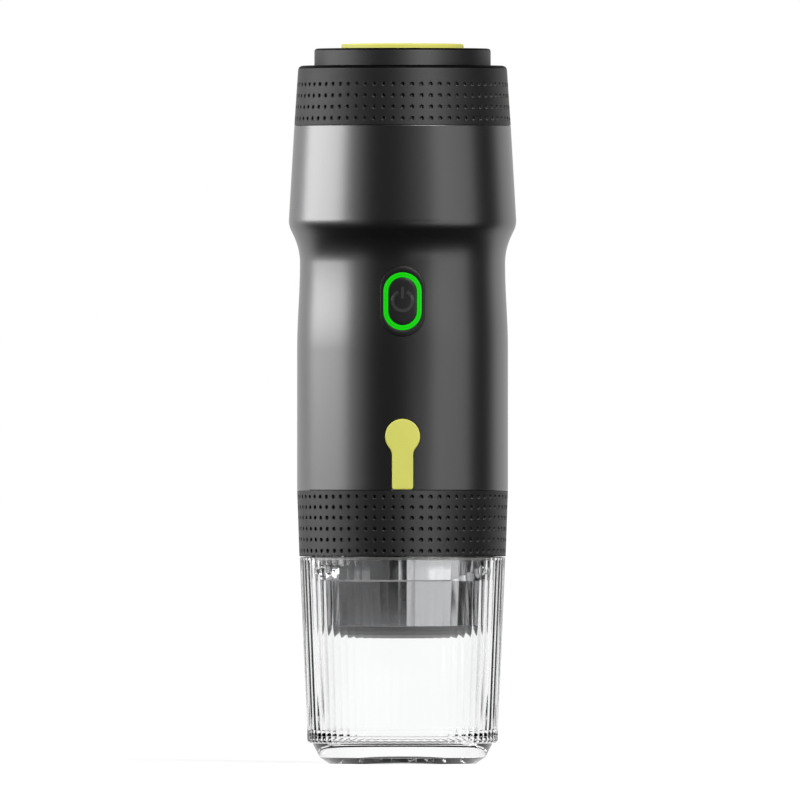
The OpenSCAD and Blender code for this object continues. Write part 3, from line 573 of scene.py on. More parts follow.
FINISHES: dict[str, Finish] = {
    "clear_cup": Finish(
        "clear_copolyester", (0.99, 0.995, 0.995), 0.012, relief_mm=0.0004, tint=0.005, swing=0.01,
        clear=1.0, shine=0.3,
    ),
    "seal_clear": Finish(
        "milky_seal", (0.78, 0.78, 0.75), 0.3, Grain.RUBBER, relief_mm=0.004, ior=1.42, clear=0.85
    ),
    "ring_black": Finish("ring_plastic", (0.02, 0.02, 0.021), 0.5, relief_mm=0.01),
    "grip_rubber": Finish(
        "grip_rubber", (0.003, 0.003, 0.0031), 0.72, Grain.RUBBER, grain_mm=0.4, relief_mm=0.0015,
        tint=0.18, ior=1.8, turned=0.82,
    ),
    "holder_black": Finish(
        "holder_plating", (0.5, 0.5, 0.51), 0.17, relief_mm=0.0004, tint=0.05, swing=0.03, metal=1.0,
        shine=0.0,
    ),
    "basket_steel": Finish(
        "drawn_steel", (0.68, 0.68, 0.69), 0.28, Grain.BRUSHED, 0.2, 0.003, metal=1.0
    ),
    "spike_steel": Finish(
        "bright_steel", (0.76, 0.76, 0.78), 0.18, Grain.BRUSHED, 0.15, 0.002, metal=1.0
    ),
    "dark_silicone": Finish("dark_silicone", (0.045, 0.045, 0.045), 0.6, Grain.RUBBER, sheen=0.1),
    "seal_red": Finish("red_seal", (0.42, 0.05, 0.03), 0.5, Grain.RUBBER, sheen=0.1),
    "base_black": Finish("base_plastic", (0.028, 0.028, 0.029), 0.45, relief_mm=0.01),
    "screw_steel": Finish(
        "plated_steel", (0.58, 0.58, 0.58), 0.3, Grain.BRUSHED, 0.15, 0.003, metal=1.0
    ),
    "hose_silicone": Finish("hose_silicone", (0.72, 0.72, 0.67), 0.45, Grain.RUBBER, sheen=0.1),
    "heater_alloy": Finish(
        "cast_alloy", (0.52, 0.53, 0.55), 0.42, Grain.CAST, 0.6, 0.02, metal=1.0
    ),
    "fuse_tan": Finish("fuse_glaze", (0.66, 0.56, 0.37), 0.25, coat=0.3),
    "frame_grey": Finish("carrier_plastic", (0.11, 0.12, 0.13), 0.5, relief_mm=0.01),
    "cell_blue": Finish("cell_wrap", (0.045, 0.14, 0.38), 0.32, relief_mm=0.004, coat=0.2),
    "tab_nickel": Finish("nickel_strip", (0.68, 0.67, 0.62), 0.3, Grain.BRUSHED, 0.2, 0.003, metal=1.0),
    "board_green": Finish("solder_mask", (0.018, 0.18, 0.055), 0.3, relief_mm=0.008, coat=0.2),
    "chip_black": Finish("chip_mould", (0.028, 0.028, 0.028), 0.55, relief_mm=0.012),
    "socket_steel": Finish(
        "socket_shell", (0.62, 0.63, 0.65), 0.25, Grain.BRUSHED, 0.12, 0.002, metal=1.0
    ),
    "motor_steel": Finish(
        "motor_can", (0.58, 0.59, 0.61), 0.3, Grain.BRUSHED, 0.2, 0.003, metal=1.0
    ),
    "pump_white": Finish("white_plastic", (0.78, 0.78, 0.76), 0.45, relief_mm=0.008),
    "pump_black": Finish("pump_plastic", (0.045, 0.045, 0.045), 0.5, relief_mm=0.01),
    "body_black": Finish(
        "satin_paint", (0.0025, 0.0025, 0.0026), 0.32, Grain.SATIN, grain_mm=0.22, relief_mm=0.0008,
        tint=0.15, swing=0.02, ior=2.1,
    ),
    "bezel_black": Finish(
        "button_plastic", (0.005, 0.005, 0.0052), 0.42, Grain.SATIN, grain_mm=0.2, relief_mm=0.002,
        tint=0.15,
    ),
    "light_green": Finish(
        "lit_guide", (0.002, 0.39, 0.0005), 0.4, relief_mm=0.002, tint=0.05, ior=1.3, glow=0.6
    ),
    "yellow_silicone": Finish(
        "yellow_silicone", (0.605, 0.6, 0.112), 0.62, Grain.RUBBER, grain_mm=0.25, relief_mm=0.008,
        tint=0.05, sheen=0.1,
    ),
    "tank_smoke": Finish(
        "smoke_plastic", (0.45, 0.5, 0.52), 0.12, relief_mm=0.002, tint=0.04, swing=0.03,
        clear=0.85,
    ),
    "disc_black": Finish(
        "disc_plastic", (0.003, 0.003, 0.0031), 0.71, Grain.SATIN, grain_mm=0.3, relief_mm=0.001,
        tint=0.12, ior=1.92, turned=0.82,
    ),
}

# Finishes of pieces that differ from their slot's own
PRINT = Finish("key_print", (0.02, 0.02, 0.0205), 0.5, Grain.SATIN, grain_mm=0.2, tint=0.1)
# Near-black finish of the strips of painted shade that darken the lid's rounded upper edges
PAINTED_SHADE_EDGE = Finish("painted_shade_edge", (0.002, 0.002, 0.002), 0.5, Grain.RUBBER, relief_mm=0.002, ior=1.1)
HOLDER_FOOT = Finish("holder_charcoal", (0.14, 0.14, 0.142), 0.42, relief_mm=0.004)
LIGHT_CORE = Finish("lit_guide_core", (0.003, 0.33, 0.001), 0.4, relief_mm=0.002, ior=1.3, glow=0.42)


@dataclass
class SubAssembly:
    """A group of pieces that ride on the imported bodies."""

    frame: dict[str, Any]

    def place(
        self,
        piece: bpy.types.Object,
        body: str,
        slot: str,
        nodes: Sequence[str] = (),
        finish: Finish | None = None,
    ) -> None:
        """Dresses a piece, ties it to its body and hides the solids that it stands for.

        Args:
            piece: the new object.
            body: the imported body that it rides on.
            slot: the record's material slot.
            nodes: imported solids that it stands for.
            finish: its finish, or the slot's own if none is given.
        """
        piece.data.materials.clear()
        piece.data.materials.append((finish or FINISHES[slot]).material())
        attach(piece, body)
        if nodes:
            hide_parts(*nodes)
        LOG.info("%s rides on %s", piece.name, body)


@dataclass
class BodyShape:
    """The outline of the main body, in mm."""

    z_foot: float = 91.2
    z_top: float = 212.6
    r_low: float = 35.15
    r_waist: float = 34.2
    r_shoulder: float = 37.88
    z_narrow: float = 138.0
    z_waist: float = 166.8
    waist_round: float = 21.0
    shoulder_round: float = 7.4
    flare: float = math.radians(25.4)
    taper: float = math.radians(3.3)
    wall: float = 2.2
    low_marks: Sequence[float] = (100.0, 112.0, 125.0)
    high_marks: Sequence[float] = (190.0, 201.0)
    probe: float = 0.02

    def __post_init__(self) -> None:
        """Works out where the outline's curves meet."""
        self.r_flare = self.r_waist + self.waist_round * (1 - math.cos(self.flare))
        self.z_flare = self.z_waist + self.waist_round * math.sin(self.flare)
        lost = self.shoulder_round * (math.cos(self.taper) - math.cos(self.flare))
        self.r_turn = self.r_shoulder - lost
        self.z_turn = self.z_flare + (self.r_turn - self.r_flare) / math.tan(self.flare)
        rise = self.shoulder_round * (math.sin(self.flare) + math.sin(self.taper))
        self.z_shoulder = self.z_turn + rise
        self.r_top = self.radius(self.z_top)

    def radius(self, z: float) -> float:
        """Outer radius at a height.

        Args:
            z: height in mm.

        Returns:
            The radius in mm.
        """
        if z <= self.z_narrow:
            return self.r_low
        if z <= self.z_waist:
            part = (z - self.z_narrow) / (self.z_waist - self.z_narrow)
            return self.r_low - (self.r_low - self.r_waist) * (1 - math.cos(math.pi * part)) / 2
        if z <= self.z_flare:
            a = math.asin((z - self.z_waist) / self.waist_round)
            return self.r_waist + self.waist_round * (1 - math.cos(a))
        if z <= self.z_turn:
            return self.r_flare + (z - self.z_flare) * math.tan(self.flare)
        if z <= self.z_shoulder:
            height = z - self.z_shoulder + self.shoulder_round * math.sin(self.taper)
            a = math.asin(max(-1.0, height / self.shoulder_round))
            return self.r_shoulder + self.shoulder_round * (math.cos(a) - math.cos(self.taper))
        return self.r_shoulder - (z - self.z_shoulder) * math.tan(self.taper)

    def slope(self, z: float) -> float:
        """Change of radius for each millimetre of height."""
        return (self.radius(z + self.probe) - self.radius(z - self.probe)) / (2 * self.probe)

    def heights(self) -> list[float]:
        """Heights at which the outline is sampled, close together where it curves.

        Returns:
            The heights in mm, from the foot to the top.
        """
        marks = [self.z_foot, *self.low_marks]
        marks += spread(self.z_narrow, self.z_waist, 24)
        marks += spread(self.z_waist, self.z_flare, 10)[1:]
        marks += spread(self.z_turn, self.z_shoulder, 10)
        return [*marks, *self.high_marks, self.z_top]

    def on_front(self, x: float, z: float, rise: float) -> Spot:
        """Point on the front of the body.

        Args:
            x: distance across from the middle.
            z: height.
            rise: distance above the body's skin.

        Returns:
            The point in mm.
        """
        r = self.radius(z) + rise
        return x, -math.sqrt(r * r - x * x), z


@dataclass
class MainBody(SubAssembly):
    """The moulded shell of the body with its button opening, plug pocket and port."""

    shape: BodyShape = field(default_factory=BodyShape)
    edge: float = 0.2
    sides: int = 160
    sharp: float = math.radians(30)
    near: float = 0.06

    def build(self, button: "ButtonPanel", plug: "PortPlug") -> None:
        """Builds the shell.

        Args:
            button: the panel that sits in the shell's upper opening.
            plug: the plug that lies in the shell's pocket.
        """
        s = self.shape
        heights = s.heights()
        outer = [Corner(s.radius(z), z, soft=True) for z in heights[1:-1]]
        inner = [Corner(c.r - s.wall, c.z, soft=True) for c in reversed(outer)]
        corners = [
            Corner(s.r_low - s.wall, s.z_foot),
            Corner(s.r_low, s.z_foot, self.edge),
            *outer,
            Corner(s.r_top, s.z_top, self.edge),
            Corner(s.r_top - s.wall, s.z_top),
            *inner,
        ]
        shell = lathe("body_shell_skin", corners, self.sides, closed=True, steps=4)
        carve(shell, [button.opening(), plug.pocket(), plug.port()])
        self._directions(shell.data)
        self.place(shell, "body", "body_black", ["body_shell"])

    def _directions(self, mesh: bpy.types.Mesh) -> None:
        """Gives the outer face its exact surface directions after the cuts.

        Args:
            mesh: the shell's mesh.
        """
        mesh.shade_smooth()
        mesh.set_sharp_from_angle(angle=self.sharp)
        ways = [Vector(n.vector) for n in mesh.corner_normals]
        low, high = self.shape.z_foot + self.edge, self.shape.z_top - self.edge
        for poly in mesh.polygons:
            x, y, z = (c / MM for c in poly.center)
            if abs(math.hypot(x, y) - self.shape.radius(z)) > self.near or not low < z < high:
                continue
            for i in poly.loop_indices:
                px, py, pz = (c / MM for c in mesh.vertices[mesh.loops[i].vertex_index].co)
                ways[i] = Vector((*unit(px, py), -self.shape.slope(pz))).normalized()
        mesh.normals_split_custom_set(ways)


@dataclass
class ButtonPanel(SubAssembly):
    """The bezel, the light guide and the power key on the front of the body."""

    shape: BodyShape = field(default_factory=BodyShape)
    z: float = 154.0
    bezel: Flat = (14.8, 23.4)
    light: Flat = (12.8, 19.3)
    key: Flat = (9.5, 15.9)
    bezel_rise: float = 0.06
    light_rise: float = 0.18
    key_rise: float = 0.12
    sign_r: float = 3.32
    sign_w: float = 1.12
    sign_gap: float = math.radians(27)
    sign_up: float = 0.2
    sign_bar: Flat = (4.65, 0.75)
    bar_share: float = 0.9
    print_rise: Flat = (-0.02, 0.04)
    deep: float = 2.4
    key_deep: float = 3.0
    fit: float = 0.2
    cut: Flat = (-8.0, 4.0)

    def outline(self, size: Flat) -> list[Flat]:
        """Points of a round-ended outline about the button's centre.

        Args:
            size: width and height.

        Returns:
            Points in (x, z), anticlockwise from the front.
        """
        run, r = (size[1] - size[0]) / 2, size[0] / 2
        points = [(r, z) for z in spread(-run, run, 8)[:-1]]
        points += [(r * math.cos(a), run + r * math.sin(a)) for a in spread(0.0, math.pi, 28)[:-1]]
        return points + [(-x, -z) for x, z in points]

    def opening(self) -> bpy.types.Object:
        """Makes the cutter for the shell's opening behind the bezel.

        Returns:
            The closed cutter.
        """
        size = (self.bezel[0] + self.fit, self.bezel[1] + self.fit)
        edge = [(x, z + self.z) for x, z in self.outline(size)]
        r = self.shape.r_low
        return prism("button_opening", edge, r + self.cut[0], r + self.cut[1])

    def band(self, name: str, steps: Sequence[tuple[Flat, float, float]]) -> bpy.types.Object:
        """Lofts a round-ended band that follows the body's curve.

        Args:
            name: the piece's name.
            steps: outline, inset and height above the body's skin, from the back outer edge inwards.

        Returns:
            The new object.
        """
        skin = Skin()
        loops: list[range] = []
        for size, inset, rise in steps:
            start = len(skin.points)
            ring = self.outline((size[0] - 2 * inset, size[1] - 2 * inset))
            skin.points.extend(self.shape.on_front(x, z + self.z, rise) for x, z in ring)
            loops.append(range(start, start + len(ring)))
        for low, high in zip(loops, loops[1:]):
            skin.strip(low, high)
        return skin.make(name, 40, weld=True)

    def build(self) -> None:
        """Builds the bezel, the light guide, the key and its sign."""
        self._bezel()
        self._light()
        self._key()
        self._sign()

    def _bezel(self) -> None:
        """Builds the bezel with its rolled edges."""
        top, out, hole = self.bezel_rise, self.bezel, self.light
        steps = [
            (out, 0.0, -self.deep),
            (out, 0.0, top - 0.06),
            (out, 0.02, top - 0.02),
            (out, 0.06, top),
            (hole, -0.08, top),
            (hole, -0.02, top - 0.03),
            (hole, 0.0, top - 0.1),
            (hole, 0.0, -self.deep),
        ]
        self.place(self.band("button_bezel", steps), "body", "bezel_black", ["button_frame"])

    def _light(self) -> None:
        """Builds the light guide, crowned on both sides of the dimmer line along its middle."""
        top, out, hole = self.light_rise, self.light, self.key
        crown, line = top + 0.03, top + 0.05
        middle = (out[0] - hole[0]) / 4
        steps = [
            (out, 0.03, -self.deep),
            (out, 0.03, top - 0.1),
            (out, 0.1, top),
            (out, 0.4, crown),
            (out, middle - 0.15, crown),
            (out, middle, top),
            (hole, 0.15 - middle, crown),
            (hole, -0.4, crown),
            (hole, -0.1, top),
            (hole, -0.03, top - 0.1),
            (hole, -0.03, -self.deep),
        ]
        self.place(self.band("light_guide", steps), "body", "light_green", ["light_ring"])
        steps = [
            (out, middle - 0.16, top),
            (out, middle - 0.12, line),
            (hole, 0.12 - middle, line),
            (hole, 0.16 - middle, top),
        ]
        core = self.band("light_guide_core", steps)
        self.place(core, "body", "light_green", finish=LIGHT_CORE)

    def _key(self) -> None:
        """Builds the key's cap."""
        rise, cap = self.key_rise, self.key
        steps = [
            (cap, 0.12, -self.key_deep),
            (cap, 0.12, rise - 0.12),
            (cap, 0.16, rise - 0.04),
            (cap, 0.26, rise),
        ]
        steps += [(cap, inset, rise + 0.01) for inset in (1.2, 2.2, 3.3, cap[0] / 2)]
        self.place(self.band("power_key_cap", steps), "key", "bezel_black", ["power_key"])

    def _sign(self) -> None:
        """Builds the printed power sign on the key."""
        skin = Skin()
        middle = self.z + self.sign_up
        start, end = math.pi / 2 + self.sign_gap, 2.5 * math.pi - self.sign_gap
        arc = spread(start, end, 40)
        line = [(self.sign_r * math.cos(a), middle + self.sign_r * math.sin(a)) for a in arc]
        self._ribbon(skin, line, self.sign_w)
        bar = [(0.0, middle + up) for up in spread(*self.sign_bar, 8)]
        self._ribbon(skin, bar, self.sign_w * self.bar_share)
        self.place(skin.make("power_sign", 50), "key", "bezel_black", finish=PRINT)

    def _ribbon(self, skin: Skin, line: Sequence[Flat], width: float) -> None:
        """Adds a raised stripe along a line on the key.

        Args:
            skin: the mesh that takes it.
            line: the stripe's middle in (x, z).
            width: its width.
        """
        low, high = (self.key_rise + rise for rise in self.print_rise)
        first = len(skin.points)
        for i, (x, z) in enumerate(line):
            past, ahead = line[max(0, i - 1)], line[min(len(line) - 1, i + 1)]
            dx, dz = unit(ahead[0] - past[0], ahead[1] - past[1])
            for side, rise in ((0.5, low), (0.46, high), (-0.46, high), (-0.5, low)):
                skin.points.append(
                    self.shape.on_front(x + dz * width * side, z - dx * width * side, rise)
                )
        for i in range(len(line) - 1):
            a, b = first + 4 * i, first + 4 * i + 4
            for k in range(3):
                skin.faces.append([a + k, b + k, b + k + 1, a + k + 1])
        end = first + 4 * (len(line) - 1)
        skin.faces.append([first, first + 1, first + 2, first + 3])
        skin.faces.append([end + 3, end + 2, end + 1, end])


@dataclass
class PortPlug(SubAssembly):
    """The keyhole plug over the charging port, one soft sheet from its foot to its head."""

    shape: BodyShape = field(default_factory=BodyShape)
    z_port: float = 109.1
    head: float = 5.85
    strap: float = 7.1
    neck: float = 4.0
    thick: float = 1.2
    rise: float = 0.15
    foot_gap: float = 0.25
    edge: float = 0.4
    z_fold: float = 94.8
    fold_half: float = 1.2
    port_size: Flat = (9.6, 4.0)
    foot_round: float = 0.8
    plain: Sequence[float] = (97.4, 99.0, 100.6)
    z_neck: float = 101.6
    neck_drop: float = 3.6
    pocket_gap: float = 0.25
    pocket_out: float = 3.0
    port_cut: Flat = (-6.0, 1.0)
    back_gap: float = 0.1
    lip_gap: float = 1.6
    lip_depth: Flat = (1.3, 0.5)
    lip_edge: float = 0.25

    def half_width(self, z: float, grow: float) -> float:
        """Half the plug's width at a height.

        Args:
            z: height in mm.
            grow: how far the outline is moved outwards.

        Returns:
            Half the width in mm.
        """
        head, half, neck = self.head + grow, self.strap / 2 + grow, self.neck - grow
        drop = math.sqrt((head + neck) ** 2 - (half + neck) ** 2)
        lean = math.atan2(drop, half + neck)
        foot, round_ = self.shape.z_foot + self.foot_gap - grow, self.foot_round + grow
        if z < foot + round_:
            return half - round_ + math.sqrt(max(0.0, round_**2 - (foot + round_ - z) ** 2))
        if z < self.z_port - drop:
            return half
        if z < self.z_port - head * math.sin(lean):
            return half + neck - math.sqrt(neck**2 - (z - self.z_port + drop) ** 2)
        return math.sqrt(max(0.0, head**2 - (z - self.z_port) ** 2))

    def rows(self, grow: float) -> list[float]:
        """Heights at which the plug is sampled, closer at its ends and at the fold.

        Args:
            grow: how far the outline is moved outwards.

        Returns:
            The heights in mm, from the foot to the tip.
        """
        reach, round_ = self.head + grow, self.foot_round + grow
        foot, tip = self.shape.z_foot + self.foot_gap - grow, self.z_port + self.head + grow
        low = [foot + round_ * (1 - math.cos(a)) for a in spread(0.0, math.pi / 2, 6)]
        fold = spread(self.z_fold - self.fold_half, self.z_fold + self.fold_half, 10)
        neck = spread(self.z_neck, self.z_port - self.neck_drop, 8)
        cap = [self.z_port + reach * math.sin(math.radians(a)) for a in range(-33, 91, 6)]
        marks = sorted({round(z, 4) for z in [*low, *fold, *self.plain, *neck, *cap, tip]})
        return [z for i, z in enumerate(marks) if i == 0 or z - marks[i - 1] > 0.004]

    def sheet(self, name: str, grow: float, low: float, high: float, edge: float) -> bpy.types.Object:
        """Builds a closed sheet with the plug's outline that follows the body's curve.

        Args:
            name: the piece's name.
            grow: how far the outline is moved outwards.
            low: height of its back over the body's skin.
            high: height of its front over the body's skin.
            edge: rounding of its front edge.

        Returns:
            The new object.
        """
        share = [0.0, 0.25, 0.5, 0.68, 0.8, 0.88, 0.93, 0.965, 0.988, 1.0]
        across = [-s for s in reversed(share[1:])] + share
        rows = self.rows(grow)
        rim = [(self.half_width(z, grow), z) for z in rows]
        rim += [(rim[0][0] * k / 6, rows[0]) for k in range(6)]
        skin = Skin()
        wide = len(across)
        for front in (True, False):
            for z in rows:
                half = self.half_width(z, grow)
                for s in across:
                    x = s * half
                    rise = low
                    if front:
                        inside = min(math.hypot(abs(x) - rx, z - rz) for rx, rz in rim)
                        dip = max(0.0, edge - inside)
                        rise = high - edge + math.sqrt(max(0.0, edge * edge - dip * dip))
                    skin.points.append(self.shape.on_front(x, z, rise))
        back = wide * len(rows)
        for i in range(len(rows) - 1):
            for j in range(wide - 1):
                a, b = i * wide + j, (i + 1) * wide + j
                skin.faces.append([a, a + 1, b + 1, b])
                skin.faces.append([a + back, b + back, b + 1 + back, a + 1 + back])
            for j, order in ((0, 1), (wide - 1, -1)):
                a, b = i * wide + j, (i + 1) * wide + j
                skin.faces.append([a, b, b + back, a + back][::order])
        for j in range(wide - 1):
            skin.faces.append([j, j + back, j + 1 + back, j + 1])
        return skin.make(name, 40, weld=True)

    def pocket(self) -> bpy.types.Object:
        """Cutter for the pocket that the plug lies in."""
        return self.sheet("plug_pocket", self.pocket_gap, -self.thick, self.pocket_out, 0.0)

    def slot_outline(self, size: Flat) -> list[Flat]:
        """Points of a round-ended outline that lies across the port.

        Args:
            size: width and height.

        Returns:
            Points in (x, z), anticlockwise from the front.
        """
        run, r = (size[0] - size[1]) / 2, size[1] / 2
        turns = spread(0.0, math.pi, 12)
        right = [(run + r * math.sin(a), self.z_port - r * math.cos(a)) for a in turns]
        return right + [(-x, 2 * self.z_port - z) for x, z in right]

    def port(self) -> bpy.types.Object:
        """Makes the cutter for the charging port's opening."""
        low, high = (self.shape.r_low + cut for cut in self.port_cut)
        return prism("port_opening", self.slot_outline(self.port_size), low, high)

    def build(self) -> None:
        """Builds the plug and the lip on its back that fills the port."""
        plug = self.sheet("port_plug_sheet", 0.0, self.back_gap - self.thick, self.rise, self.edge)
        plug.data.materials.append(FINISHES["yellow_silicone"].material())
        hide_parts("port_plug", "plug_anchor")
        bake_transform(plug)
        LOG.info("%s bends between body and plug", plug.name)
        r = self.shape.r_low
        size = (self.port_size[0] - self.lip_gap, self.port_size[1] - self.lip_gap)
        deep, shallow = r - self.thick - self.lip_depth[0], r - self.lip_depth[1]
        lip = prism("port_plug_lip", self.slot_outline(size), deep, shallow)
        bevel(lip, self.lip_edge)
        self.place(lip, "plug", "yellow_silicone")


@dataclass
class GripSleeve:
    """The dimpled wall of a rubber sleeve.

    Each step of the bowl gives its share of the dimple's radius and depth, and how far the surface
    leans along the wall and faces out of it.
    """

    wall: Cone
    rows: Sequence[float]
    columns: int = 70
    size: float = 0.74
    depth: float = 0.8
    bowl: Sequence[tuple[float, float, float, float]] = (
        (1.1, 0.0, 0.0, 1.0),
        (1.0, 0.06, -0.72, 0.7),
        (0.9, 0.5, -0.96, 0.28),
        (0.68, 0.9, -0.7, 0.72),
        (0.44, 1.0, 0.0, 1.0),
    )

    def make(
        self, name: str, foot: Sequence[Corner], head: Sequence[Corner], steps: int = 6
    ) -> bpy.types.Object:
        """Makes the sleeve: the dimpled band between a plain foot and a plain head.

        Args:
            name: the piece's name.
            foot: outline from the sleeve's back to the band's lower edge.
            head: outline from the band's upper edge to the sleeve's back.
            steps: flats on each fillet of the head.

        Returns:
            The new object.
        """
        skin = Skin()
        self.cells(skin)
        skin.spin(turned(foot), 4 * self.columns)
        skin.spin(turned(head, steps=steps), 4 * self.columns)
        return skin.make(name)

    def edges(self) -> Flat:
        """Lowest and highest height of the dimpled band."""
        first, last = self.rows[0], self.rows[-1]
        return first - (self.rows[1] - first) / 2, last + (last - self.rows[-2]) / 2

    def cells(self, skin: Skin) -> None:
        """Adds the dimpled band to a mesh, one cell for each dimple.

        Args:
            skin: the mesh that takes the band.
        """
        low, high = self.edges()
        cuts = [low] + [(a + b) / 2 for a, b in zip(self.rows, self.rows[1:])] + [high]
        tan = math.tan(math.pi / 8)
        square = [(1, 0), (1, tan), (1, 1), (tan, 1)]
        ring = list(square)
        for _ in range(3):
            square = [(-z, x) for x, z in square]
            ring += square
        pitch = math.tau / self.columns
        for row, z_mid in enumerate(self.rows):
            for column in range(self.columns):
                self._cell(skin, FRONT + column * pitch, z_mid, cuts[row], cuts[row + 1], ring)

    def _cell(
        self, skin: Skin, turn: float, z_mid: float, z_low: float, z_high: float, ring: list[Flat]
    ) -> None:
        """Adds one dimple and the wall round it.

        Args:
            skin: the mesh that takes it.
            turn: angle of its middle.
            z_mid: height of its middle.
            z_low: lower edge of its cell.
            z_high: upper edge of its cell.
            ring: sixteen points round a square from -1 to 1.
        """
        half = math.pi / self.columns
        mid_r = self.wall.at(z_mid)
        count = len(ring)
        loops: list[list[int]] = [[]]
        ways: list[list[Spot]] = [[]]
        for x, z in ring:
            z_at = z_mid + z * (z_high - z_mid if z > 0 else z_mid - z_low)
            loops[0].append(self._point(skin, turn + x * half, z_at, 0.0))
            ways[0].append(self._way(turn + x * half, 0.0, 1.0, 0.0))
        for share, deep, lean, out in self.bowl:
            loop: list[int] = []
            way: list[Spot] = []
            for k in range(count):
                a = math.tau * k / count
                across, rise = share * self.size * math.cos(a), share * self.size * math.sin(a)
                at = turn + across / mid_r
                loop.append(self._point(skin, at, z_mid + rise, deep * self.depth))
                way.append(self._way(at, lean, out, a))
            loops.append(loop)
            ways.append(way)
        following = [(i, (i + 1) % count) for i in range(count)]
        for k, (low, high) in enumerate(zip(loops, loops[1:])):
            for i, n in following:
                skin.face(
                    [low[i], low[n], high[n], high[i]],
                    [ways[k][i], ways[k][n], ways[k + 1][n], ways[k + 1][i]],
                )
        centre = self._point(skin, turn, z_mid, self.depth)
        floor = self._way(turn, 0.0, 1.0, 0.0)
        for i, n in following:
            skin.face([loops[-1][i], loops[-1][n], centre], [ways[-1][i], ways[-1][n], floor])

    def _point(self, skin: Skin, turn: float, z: float, deep: float) -> int:
        """Adds a point of the wall.

        Args:
            skin: the mesh that takes it.
            turn: its angle round the axis.
            z: its height.
            deep: how far it lies in the wall.

        Returns:
            The point's number.
        """
        r = self.wall.at(z) - deep
        skin.points.append((r * math.cos(turn), r * math.sin(turn), z))
        return len(skin.points) - 1

    def _way(self, turn: float, lean: float, face: float, a: float) -> Spot:
        """Surface direction that leans along the wall.

        Args:
            turn: angle round the axis.
            lean: share of the direction along the wall.
            face: share straight out of the wall.
            a: direction of the lean, from across towards up.

        Returns:
            The direction.
        """
        c, s = math.cos(turn), math.sin(turn)
        out, tilt = unit(1.0, -self.wall.lean)
        across, rise = lean * math.cos(a), lean * math.sin(a)
        radial = face * out - rise * tilt
        return radial * c - across * s, radial * s + across * c, face * tilt + rise * out


@dataclass
class Thread:
    """A screw thread's ridge, right-handed, in mm."""

    r: float
    z: float
    lead: float
    turns: float
    width: float = 1.7
    start: float = 0.0
    inward: bool = False
    per_turn: int = 72
    fade: float = 0.08
    least: float = 0.03
    sunk: float = 0.1

    def build(self, name: str) -> bpy.types.Object:
        """Builds the ridge with tapering ends.

        Args:
            name: the piece's name.

        Returns:
            The new object.
        """
        skin = Skin()
        count = int(self.per_turn * self.turns)
        sign = -1.0 if self.inward else 1.0
        for i in range(count + 1):
            part = self.turns * i / count
            full = min(1.0, part / self.fade, (self.turns - part) / self.fade)
            turn = self.start + math.tau * part
            z = self.z + self.lead * part
            peak = self.r + sign * (THREAD_DEPTH * max(self.least, full))
            root = self.r - sign * self.sunk
            for r, up in ((root, -0.5), (peak, -0.2), (peak, 0.2), (root, 0.5)):
                skin.points.append((r * math.cos(turn), r * math.sin(turn), z + up * self.width))
        for i in range(count):
            a, b = 4 * i, 4 * i + 4
            for k in range(4):
                n = (k + 1) % 4
                quad = [a + k, b + k, b + n, a + n]
                skin.faces.append(quad[::-1] if self.inward else quad)
        ends = [[0, 1, 2, 3], [4 * count + k for k in (3, 2, 1, 0)]]
        skin.faces.extend([e[::-1] for e in ends] if self.inward else ends)
        return skin.make(name, 50)


